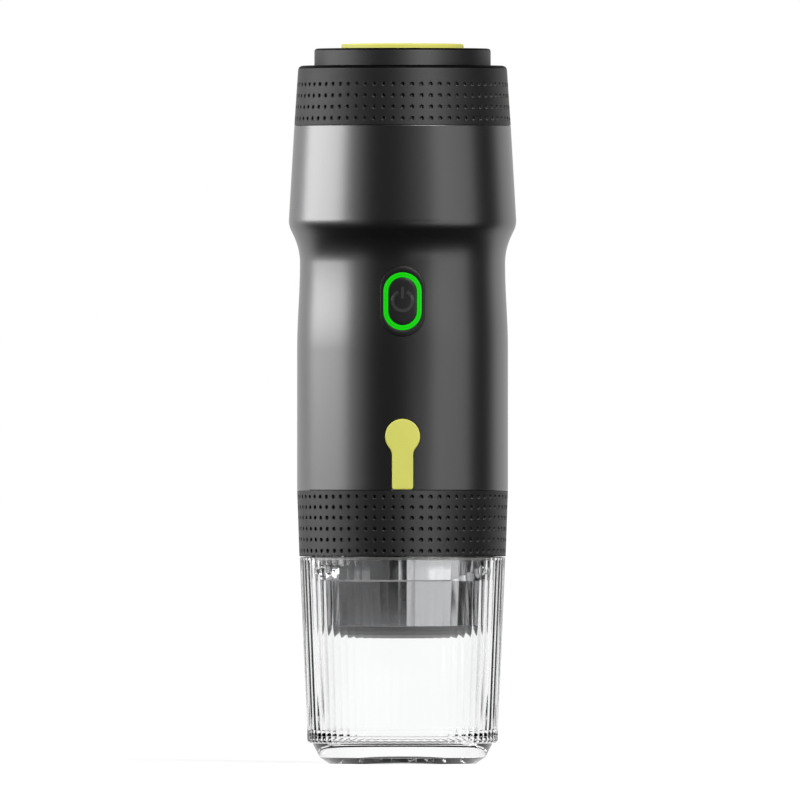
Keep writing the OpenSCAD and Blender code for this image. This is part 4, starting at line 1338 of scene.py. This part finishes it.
@dataclass
class BrewHead(SubAssembly):
    """The dimpled brew ring and the capsule holder that hangs in the cup."""

    z_foot: float = 69.1
    z_top: float = 91.1
    r_low: float = 34.4
    r_high: float = 35.15
    sleeve: float = 1.2
    ring_in: float = 31.8
    collar: float = 30.4
    z_collar: float = 61.0
    z_flange: float = 71.5
    z_holder: float = 41.6
    holder: float = 26.6
    z_lug: float = 64.3
    groove_floor: float = 29.1
    groove_half: float = math.radians(12.35)
    groove_top: float = 65.8
    groove_twist: float = math.radians(6.0)
    lead: float = 8.0
    z_thread: float = 76.5
    thread_turns: float = 1.6
    sleeve_gap: float = 0.05
    ring_gap: float = 0.15
    flange_gap: float = 0.2
    outlet: float = 4.2
    floor: float = 2.2
    skin: float = 2.2
    foot_h: float = 4.2
    foot_gap: float = 0.05
    floor_in: float = 18.4
    neck: float = 28.2
    bore: float = 26.0
    flange_h: float = 4.2
    seat: float = 28.3
    z_seat: float = 73.9
    holder_sides: int = 144
    sharp: float = math.radians(25)
    rows: Sequence[float] = (71.0, 74.7, 78.3, 82.0, 85.5, 89.0)

    def build(self) -> None:
        """Builds the sleeve, the ring, the holder and the thread."""
        self._sleeve()
        self._ring()
        self._holder()
        thread = Thread(
            self.ring_in, self.z_thread, self.lead, self.thread_turns, start=math.pi, inward=True
        )
        self.place(thread.build("brew_ring_thread"), "brew_head", "ring_black")

    def _sleeve(self) -> None:
        """Builds the rubber sleeve with its six rows of dimples."""
        wall = Cone(self.r_low, self.z_foot, self.r_high, self.z_top)
        grip = GripSleeve(wall, self.rows)
        low, high = grip.edges()
        back = self.sleeve - self.sleeve_gap
        foot = [
            Corner(self.r_low - back, self.z_foot),
            Corner(self.r_low, self.z_foot, 0.35),
            Corner(wall.at(low), low),
        ]
        head = [
            Corner(wall.at(high), high),
            Corner(self.r_high, self.z_top, 0.15),
            Corner(self.r_high - back, self.z_top),
            Corner(self.r_low - back, self.z_foot),
        ]
        sleeve = grip.make("brew_grip", foot, head)
        self.place(sleeve, "brew_head", "grip_rubber", ["brew_sleeve"])

    def _ring(self) -> None:
        """Builds the rigid ring under the sleeve."""
        bore, t = self.collar + self.ring_gap, self.sleeve
        corners = [
            Corner(bore, self.z_foot, 0.2),
            Corner(self.r_low - t, self.z_foot),
            Corner(self.r_high - t, self.z_top),
            Corner(self.ring_in, self.z_top, 0.4),
            Corner(self.ring_in, self.z_flange, 0.3),
            Corner(bore, self.z_flange),
        ]
        ring = lathe("brew_ring_wall", corners, 160, closed=True, steps=4)
        self.place(ring, "brew_head", "ring_black", ["brew_ring"])

    def _holder(self) -> None:
        """Builds the capsule holder: its foot, and its wall with the bayonet grooves in the collar."""
        z, r = self.z_holder, self.holder
        split = z + self.foot_h
        under = [
            Corner(self.outlet, z, 0.4),
            Corner(r - 7.6, z, 1.0),
            Corner(r - 2.6, z + 1.2, 1.6),
            Corner(r - 0.6, z + 2.6, 1.2),
            Corner(r, split - self.foot_gap, 0.2),
            Corner(r - self.skin, split - self.foot_gap),
            Corner(self.floor_in, z + self.floor),
            Corner(self.outlet, z + self.floor),
        ]
        foot = lathe("holder_foot", under, self.holder_sides, closed=True, steps=4)
        self.place(foot, "brew_head", "holder_black", finish=HOLDER_FOOT)
        flange, top = self.ring_in - self.flange_gap, self.z_flange + self.flange_h
        corners = [
            Corner(r - self.skin, split),
            Corner(r, split, 0.15),
            Corner(self.neck, self.z_collar, 0.3),
            Corner(self.collar, self.z_collar, 0.4),
            Corner(self.collar, self.z_flange, 0.2),
            Corner(flange, self.z_flange, 0.2),
            Corner(flange, top, 0.4),
            Corner(self.seat, top, 0.3),
            Corner(self.seat, self.z_seat),
            Corner(self.bore, self.z_seat),
            Corner(self.bore, self.z_collar, 1.0),
        ]
        shell = lathe("holder_shell", corners, self.holder_sides, closed=True, steps=4)
        carve(shell, [self._groove(k) for k in range(3)])
        shell.data.shade_smooth()
        shell.data.set_sharp_from_angle(angle=self.sharp)
        even = shell.modifiers.new("even", "WEIGHTED_NORMAL")
        even.weight = 100
        even.keep_sharp = True
        self.place(shell, "brew_head", "holder_black", ["brew_shell"])

    def _groove(self, number: int) -> bpy.types.Object:
        """Cutter for one slanted bayonet groove.

        Args:
            number: which of the three grooves.

        Returns:
            The closed cutter.
        """
        skin = Skin()
        slices, steps = 10, 6
        z_start = self.z_collar - 1
        for i in range(slices + 1):
            z = z_start + (self.groove_top - z_start) * i / slices
            middle = math.pi / 2 + math.tau * number / 3 + self.groove_twist * (z - self.z_lug)
            angles = [middle + self.groove_half * (2 * k / steps - 1) for k in range(steps + 1)]
            for r, turns in ((self.groove_floor, angles), (self.collar + 2, angles[::-1])):
                skin.points.extend((r * math.cos(a), r * math.sin(a), z) for a in turns)
        wide = 2 * (steps + 1)
        for i in range(slices):
            for k in range(wide):
                n = (k + 1) % wide
                a, b = i * wide, (i + 1) * wide
                skin.faces.append([a + n, a + k, b + k, b + n])
        skin.faces.append(list(range(wide)))
        skin.faces.append([slices * wide + k for k in range(wide - 1, -1, -1)])
        return skin.make(f"groove_cutter_{number}")


@dataclass
class Cup(SubAssembly):
    """The clear ribbed cup, one closed wall with its foot, rim groove and bayonet lugs."""

    ribs: int = 70
    fine: int = 8
    height: float = 68.8
    step: float = 6.8
    r_tip: Flat = (31.75, 34.3)
    rib: float = 0.2
    rib_low: float = 0.3
    r_base: float = 30.1
    r_foot: float = 26.0
    r_in: Sequence[Flat] = ((31.5, 68.8), (29.14, 11.3), (27.9, 9.2))
    z_rib_low: float = 10.8
    groove: Flat = (32.1, 33.1)
    lug_z: float = 64.3
    lug: Spot = (29.5, 4.3, 2.3)
    lug_out: float = 31.42
    lug_edge: float = 0.35
    lug_turns: Spot = (math.pi / 2, -math.pi / 6, -5 * math.pi / 6)
    recess: float = 0.3
    lip: Spot = (-1.5, 1.7, 2.1)
    rib_start: float = 0.25
    rib_run: float = 1.1
    marks: Sequence[float] = (13.0, 24.0, 34.0, 44.0, 54.0, 64.0)
    rim: float = 0.45
    groove_depth: float = 1.0
    rounds: Spot = (0.25, 0.9, 0.7)

    def build(self) -> None:
        """Builds the cup and its lugs."""
        skin = Skin()
        sides = self.ribs * self.fine
        rings: list[list[int]] = []
        for r, z, depth in self._levels():
            start = len(skin.points)
            if r < ON_AXIS:
                skin.points.append((0.0, 0.0, z))
                rings.append([start] * sides)
                continue
            for j in range(sides):
                part = (j % self.fine) / self.fine
                swing = min(part, 1 - part) * 2
                radius = r - depth * swing * swing
                a = FRONT + math.tau * j / sides
                skin.points.append((radius * math.cos(a), radius * math.sin(a), z))
            rings.append(list(range(start, start + sides)))
        for low, high in zip(rings, rings[1:]):
            skin.strip(low, high)
        self.place(skin.make("ribbed_cup", 38), "cup", "clear_cup", ["cup"])
        for k, turn in enumerate(self.lug_turns):
            self.place(self._lug(k, turn), "cup", "clear_cup")

    def _levels(self) -> list[Spot]:
        """Rings of the cup from the middle of its underside over the rim to its inner floor.

        Returns:
            Radius, height and rib depth of each ring.
        """
        tip = Cone(self.r_tip[0], self.step, self.r_tip[1], self.height)
        foot, top = self.r_foot, self.height
        lip_in, lip_out, lip_h = self.lip
        under = [
            Corner(0, self.recess),
            Corner(foot - 3.8, self.recess, 0.3),
            Corner(foot - 3, 0, 0.3),
            Corner(foot + lip_in, 0, 0.3),
            Corner(foot + lip_out, lip_h, 0.4),
            Corner(self.r_base, self.step, 0.35),
        ]
        rings = [(k.r, k.z, 0.0) for k in turned(under, steps=5)]
        start = self.r_base + self.rib_start
        for a in spread(0.0, math.pi / 2, 5):
            part = math.sin(a)
            z = self.step + self.rib_run * (1 - math.cos(a))
            rings.append((start + (tip.at(z) - start) * part, z, self.rib_low * part))
        rings.append((tip.at(self.z_rib_low), self.z_rib_low, self.rib_low))
        rings += [(tip.at(z), z, self.rib) for z in (*self.marks, top - self.rim)]
        rings.append((tip.at(top) - 0.12, top - 0.14, self.rib * 0.85))
        rings.append((tip.at(top) - self.rim, top, self.rib * 0.5))
        inner, outer = self.groove
        sunk = top - self.groove_depth
        rings += [(outer, top, 0.0), (outer, sunk, 0.0), (inner, sunk, 0.0), (inner, top, 0.0)]
        inside = [Corner(inner, top)]
        inside += [Corner(r, z, fillet) for (r, z), fillet in zip(self.r_in, self.rounds)]
        inside.append(Corner(0, self.r_in[-1][1]))
        return rings + [(k.r, k.z, 0.0) for k in turned(inside, steps=5)[1:]]

    def _lug(self, number: int, turn: float) -> bpy.types.Object:
        """Builds one bayonet lug.

        Args:
            number: which of the lugs.
            turn: its angle round the cup.

        Returns:
            The new object.
        """
        skin = Skin()
        r_in, wide, tall = self.lug
        half = math.asin(wide / 2 / r_in)
        for z in (self.lug_z - tall / 2, self.lug_z + tall / 2):
            for r, sign in ((r_in, -1), (self.lug_out, -1), (self.lug_out, 1), (r_in, 1)):
                a = turn + sign * half
                skin.points.append((r * math.cos(a), r * math.sin(a), z))
        skin.strip(range(4), range(4, 8))
        skin.faces.extend([[3, 2, 1, 0], [4, 5, 6, 7]])
        lug = skin.make(f"cup_lug_{number + 1}", 60)
        bevel(lug, self.lug_edge)
        return lug


@dataclass
class Lid(SubAssembly):
    """The dimpled lid ring, the raised disc and the pad, with the screw threads under them."""

    z_foot: float = 212.7
    z_top: float = 232.6
    r_low: float = 36.08
    r_high: float = 34.85
    sleeve: float = 1.2
    round_: float = 1.6
    disc: float = 29.4
    z_disc: float = 238.3
    disc_round: float = 1.0
    pad: float = 20.4
    z_pad: float = 240.0
    neck: float = 30.4
    skirt: float = 31.4
    lead: float = 5.0
    neck_thread: Flat = (215.2, 1.1)
    skirt_thread: Flat = (216.4, 1.2)
    rim_in: float = 1.65
    rim_h: float = 1.15
    sleeve_gap: float = 0.05
    turn_in: float = 0.6
    disc_wall: float = 2.2
    disc_roof: float = 2.0
    seat_gap: float = 0.1
    seat_h: float = 0.6
    # How far the strips of painted shade stand proud of the rounded edges, sink into them and run inward
    # over the top
    shade_proud: float = 0.03
    shade_deep: float = 0.25
    shade_run: float = 0.3
    rows: Sequence[float] = (214.9, 218.7, 222.5, 226.3)

    def build(self) -> None:
        """Builds the sleeve, the disc, the pad and both threads."""
        self._sleeve()
        self._disc()
        self._pad()
        z, turns = self.neck_thread
        male = Thread(self.neck, z, self.lead, turns)
        self.place(male.build("neck_thread"), "body", "tank_smoke")
        z, turns = self.skirt_thread
        female = Thread(self.skirt, z, self.lead, turns, start=math.pi, inward=True)
        self.place(female.build("lid_thread"), "lid", "ring_black")

    def _sleeve(self) -> None:
        """Builds the rubber sleeve with its four rows of dimples."""
        wall = Cone(self.r_low, self.z_foot, self.r_high, self.z_top - self.round_)
        grip = GripSleeve(wall, self.rows)
        low, high = grip.edges()
        inner, shelf = self.disc + self.rim_in, self.z_top - self.rim_h
        back = self.sleeve - self.sleeve_gap
        hem = self.r_low - self.sleeve - self.turn_in
        foot = [
            Corner(hem, self.z_foot),
            Corner(self.r_low, self.z_foot, 0.15),
            Corner(wall.at(low), low),
        ]
        head = [
            Corner(wall.at(high), high),
            Corner(wall.at(self.z_top), self.z_top, self.round_),
            Corner(inner, self.z_top, 0.15),
            Corner(inner, shelf),
            Corner(self.r_high - back, shelf),
            Corner(self.r_low - back, self.z_foot + 0.4),
            Corner(hem, self.z_foot),
        ]
        sleeve = grip.make("lid_grip", foot, head, steps=8)
        self.place(sleeve, "lid", "grip_rubber", ["lid_sleeve"])
        # A black strip of painted shade along the sleeve's rounded top edge
        shade_strip = self._painted_shade_strip("lid_grip_painted_shade", self.r_high, self.z_top, self.round_)
        self.place(shade_strip, "lid", "grip_rubber", finish=PAINTED_SHADE_EDGE)

    def _disc(self) -> None:
        """Builds the raised disc with the seat for the pad."""
        inner, seat = self.disc - self.disc_wall, self.pad + self.seat_gap
        floor, roof = self.z_disc - self.seat_h, self.z_disc - self.disc_roof
        corners = [
            Corner(inner, self.z_top),
            Corner(self.disc, self.z_top, 0.15),
            Corner(self.disc, self.z_disc, self.disc_round),
            Corner(seat, self.z_disc, 0.2),
            Corner(seat, floor),
            Corner(0, floor),
            Corner(0, roof),
            Corner(inner, roof),
        ]
        disc = lathe("lid_disc_cap", corners, 160, closed=True, steps=6)
        self.place(disc, "lid", "disc_black", ["lid_disc"])
        # A black strip of painted shade along the disc's rounded top edge
        shade_strip = self._painted_shade_strip("lid_disc_painted_shade", self.disc, self.z_disc, self.disc_round)
        self.place(shade_strip, "lid", "disc_black", finish=PAINTED_SHADE_EDGE)

    def _painted_shade_strip(self, name: str, r: float, top: float, round_: float) -> bpy.types.Object:
        """Builds a black strip of painted shade that runs along a rounded upper edge.

        Args:
            name: name of the piece.
            r: radius of the wall under the edge.
            top: height of the face over it.
            round_: radius of the rounding.

        Returns:
            The strip of painted shade, a hair proud of the edge.
        """
        r_mid, z_mid = r - round_, top - round_
        proud, inset = round_ + self.shade_proud, round_ - self.shade_deep
        corners: list[Corner] = []
        for degrees in (24, 46, 68, 90):
            a = math.radians(degrees)
            fillet = 0.5 * round_ if 24 < degrees < 90 else 0.0
            corners.append(Corner(r_mid + proud * math.cos(a), z_mid + proud * math.sin(a), fillet))
        corners.append(Corner(r_mid - self.shade_run, top + self.shade_proud, 0.02))
        corners.append(Corner(r_mid - self.shade_run, top - self.shade_deep))
        for degrees in (68, 24):
            a = math.radians(degrees)
            corners.append(Corner(r_mid + inset * math.cos(a), z_mid + inset * math.sin(a)))
        return lathe(name, corners, 160, closed=True, steps=4)

    def _pad(self) -> None:
        """Builds the soft pad."""
        corners = [
            Corner(0, self.z_disc - self.seat_h),
            Corner(self.pad, self.z_disc - self.seat_h),
            Corner(self.pad - 0.1, self.z_pad - 0.12, 0.55),
            Corner(self.pad - 6, self.z_pad, 4.0),
            Corner(0, self.z_pad),
        ]
        pad = lathe("lid_pad_soft", corners, 128, steps=8)
        self.place(pad, "lid", "yellow_silicone", ["lid_pad"])


@dataclass
class BaseCollar(SubAssembly):
    """The screw thread on the collar under the body."""

    r: float = 30.8
    z: float = 82.0
    lead: float = 8.0
    turns: float = 0.95

    def build(self) -> None:
        """Builds the ridge."""
        ridge = Thread(self.r, self.z, self.lead, self.turns)
        self.place(ridge.build("collar_thread"), "body", "base_black")


@dataclass
class InnerWorks(SubAssembly):
    """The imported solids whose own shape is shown, each in the finish of its slot."""

    def dress(self) -> None:
        """Gives every shown solid its slot's finish."""
        for part in self.frame["record"]["subparts"]:
            solid = self.frame["nodes"][part["node"]]
            if solid.hide_render:
                continue
            finish = FINISHES[part["material_slot"]].material()
            if not solid.material_slots:
                solid.data.materials.append(finish)
            for place in solid.material_slots:
                place.material = finish
            LOG.info("%s is dressed as %s", part["node"], part["material_slot"])


@dataclass(frozen=True)
class Softbox:
    """A soft studio light, placed by its direction from the maker's middle."""

    name: str
    azimuth: float
    elevation: float
    width: float
    height: float
    radiance: float
    distance: float = 1.4

    def hang(self, target: Vector) -> None:
        """Makes the light and points it at the target.

        Args:
            target: the point that it faces, in metres.
        """
        data = bpy.data.lights.new(self.name, "AREA")
        data.shape = "RECTANGLE"
        data.size = self.width
        data.size_y = self.height
        data.energy = self.radiance * math.pi * self.width * self.height
        lamp = bpy.data.objects.new(self.name, data)
        a, e = math.radians(self.azimuth), math.radians(self.elevation)
        out = Vector((math.sin(a) * math.cos(e), -math.cos(a) * math.cos(e), math.sin(e)))
        lamp.location = target + out * self.distance
        lamp.rotation_euler = (-out).to_track_quat("-Z", "Y").to_euler()
        lamp.visible_camera = False
        bpy.context.scene.collection.objects.link(lamp)


@dataclass
class Studio:
    """The pale floor, the white backdrop, the lights and the camera.

    Each pair of distances, in metres, says where a part of the floor or backdrop fades in.
    """

    middle: Vector = field(default_factory=lambda: Vector((0.0, 0.0, 0.12)))
    floor_half: float = 30.0
    floor_glow: Flat = (0.82, 1.0)
    floor_reach: Flat = (0.15, 0.6)
    floor_colour: float = 0.25
    behind: Flat = (0.05, 0.1)
    card_x: Flat = (0.012, 0.03)
    card_y: Flat = (-0.045, -0.065)
    left_card: Flat = (-0.1, -0.12)
    left_glow: float = 0.16
    near: Flat = (0.1, 0.05)
    near_clear: Flat = (0.2, 0.15)
    sky_top: Flat = (0.6, 0.4)
    sky_back: Flat = (0.3, 0.6)
    sky_clear: Flat = (0.15, 0.4)
    ambient: float = 0.12
    dark: float = 0.012
    camera_at: Spot = (-0.00085, -12.0, 0.1212)
    lens: float = 1620.0
    sensor: float = 36.0
    sight: float = 200.0
    lights: Sequence[Softbox] = (
        Softbox("left_box", -91, 18, 1.5, 0.84, 6.0),
        Softbox("fill_box", -51, 12, 0.21, 0.48, 0.5, 0.6),
        Softbox("right_box", 54, 7, 0.42, 0.36, 0.9, 0.5),
        Softbox("low_box", 23, -6.3, 0.3, 0.05, 1.0, 0.5),
        Softbox("top_box", 31, 46, 0.56, 0.84, 14.8),
    )

    def build(self) -> None:
        """Builds the whole studio."""
        self._floor()
        self._world()
        for light in self.lights:
            light.hang(self.middle)
        data = bpy.data.cameras.new("camera")
        data.sensor_width = self.sensor
        data.lens = self.lens
        data.clip_end = self.sight
        camera = bpy.data.objects.new("camera", data)
        camera.location = self.camera_at
        camera.rotation_euler = (math.pi / 2, 0.0, 0.0)
        bpy.context.scene.collection.objects.link(camera)
        bpy.context.scene.camera = camera
        bpy.context.scene.view_settings.view_transform = "Standard"

    def _seen(
        self, tree: bpy.types.NodeTree, place: bpy.types.NodeSocket, away: bpy.types.NodeSocket
    ) -> bpy.types.NodeSocket:
        """Adds the strength of the floor's glow that a ray sees.

        The camera sees all of it. Reflections and clear pieces see it under and behind the maker, and as
        cards to its front right and its left.

        Args:
            tree: the floor's nodes.
            place: the place on the floor.
            away: its distance from the maker's axis.

        Returns:
            The strength, from 0 to 1.
        """
        path = node(tree, "LightPath").outputs
        split = node(tree, "SeparateXYZ", {0: place}).outputs
        across, along, clear = split["X"], split["Y"], path["Is Transmission Ray"]
        card = maths(tree, "MULTIPLY", ramp(tree, across, self.card_x), ramp(tree, along, self.card_y))
        left = maths(tree, "MULTIPLY", ramp(tree, across, self.left_card), self.left_glow)
        near = maths(tree, "MULTIPLY", ramp(tree, away, self.near_clear), clear)
        share = ramp(tree, along, self.behind)
        for other in (card, ramp(tree, away, self.near), near, left):
            share = maths(tree, "MAXIMUM", share, other)
        shine = maths(tree, "MAXIMUM", path["Is Glossy Ray"], clear)
        fade = ramp(tree, away, self.floor_reach, self.floor_glow)
        seen = maths(tree, "MULTIPLY", fade, path["Is Camera Ray"])
        return maths(tree, "MAXIMUM", seen, maths(tree, "MULTIPLY", share, shine))

    def _floor(self) -> None:
        """Builds the floor, which is white where lit and keeps the maker's shadow."""
        skin = Skin()
        half = self.floor_half / MM
        skin.points = [(-half, -half, 0), (half, -half, 0), (half, half, 0), (-half, half, 0)]
        skin.faces = [[0, 1, 2, 3]]
        floor = skin.make("floor")
        made = bpy.data.materials.new("floor_white")
        made.use_nodes = True
        tree = made.node_tree
        tree.nodes.clear()
        place = node(tree, "TexCoord").outputs["Object"]
        away = tree.nodes.new("ShaderNodeVectorMath")
        away.operation = "LENGTH"
        feed(tree, away, {0: place})
        clear = node(tree, "LightPath").outputs["Is Transmission Ray"]
        dull = ramp(tree, clear, (0.0, 1.0), (self.floor_colour, 0.0))
        matt = node(tree, "BsdfDiffuse", {"Color": dull}).outputs[0]
        strength = self._seen(tree, place, away.outputs["Value"])
        glow = node(tree, "Emission", {"Strength": strength}).outputs[0]
        both = node(tree, "AddShader", {0: matt, 1: glow}).outputs[0]
        node(tree, "OutputMaterial", {"Surface": both})
        floor.data.materials.append(made)
        floor.visible_glossy = False

    def _world(self) -> None:
        """Builds the backdrop: white to the eye, and in reflections white behind and dark in front."""
        world = bpy.data.worlds.new("backdrop")
        bpy.context.scene.world = world
        world.use_nodes = True
        tree = world.node_tree
        way = node(tree, "TexCoord").outputs["Generated"]
        split = node(tree, "SeparateXYZ", {0: way}).outputs
        path = node(tree, "LightPath").outputs
        back, clear = split["Y"], path["Is Transmission Ray"]
        wide = maths(tree, "MULTIPLY", ramp(tree, back, self.sky_clear), clear)
        white = maths(tree, "MAXIMUM", ramp(tree, back, self.sky_back), wide)
        white = maths(tree, "MULTIPLY", white, ramp(tree, split["Z"], self.sky_top))
        white = maths(tree, "MAXIMUM", white, self.dark)
        shine = maths(tree, "MAXIMUM", path["Is Glossy Ray"], clear)
        pick = node(tree, "Mix", {0: shine, 2: self.ambient, 3: white}).outputs[0]
        strength = maths(tree, "MAXIMUM", pick, path["Is Camera Ray"])
        feed(tree, tree.nodes["Background"], {"Color": (1.0, 1.0, 1.0, 1.0), "Strength": strength})


def main() -> None:
    """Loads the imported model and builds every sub-assembly in order."""
    logging.basicConfig(level=logging.INFO, format="%(name)s: %(message)s")
    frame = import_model()
    Studio().build()
    Cup(frame).build()
    BrewHead(frame).build()
    button = ButtonPanel(frame)
    plug = PortPlug(frame)
    MainBody(frame).build(button, plug)
    button.build()
    plug.build()
    BaseCollar(frame).build()
    Lid(frame).build()
    InnerWorks(frame).dress()


if __name__ == "__main__":
    main()
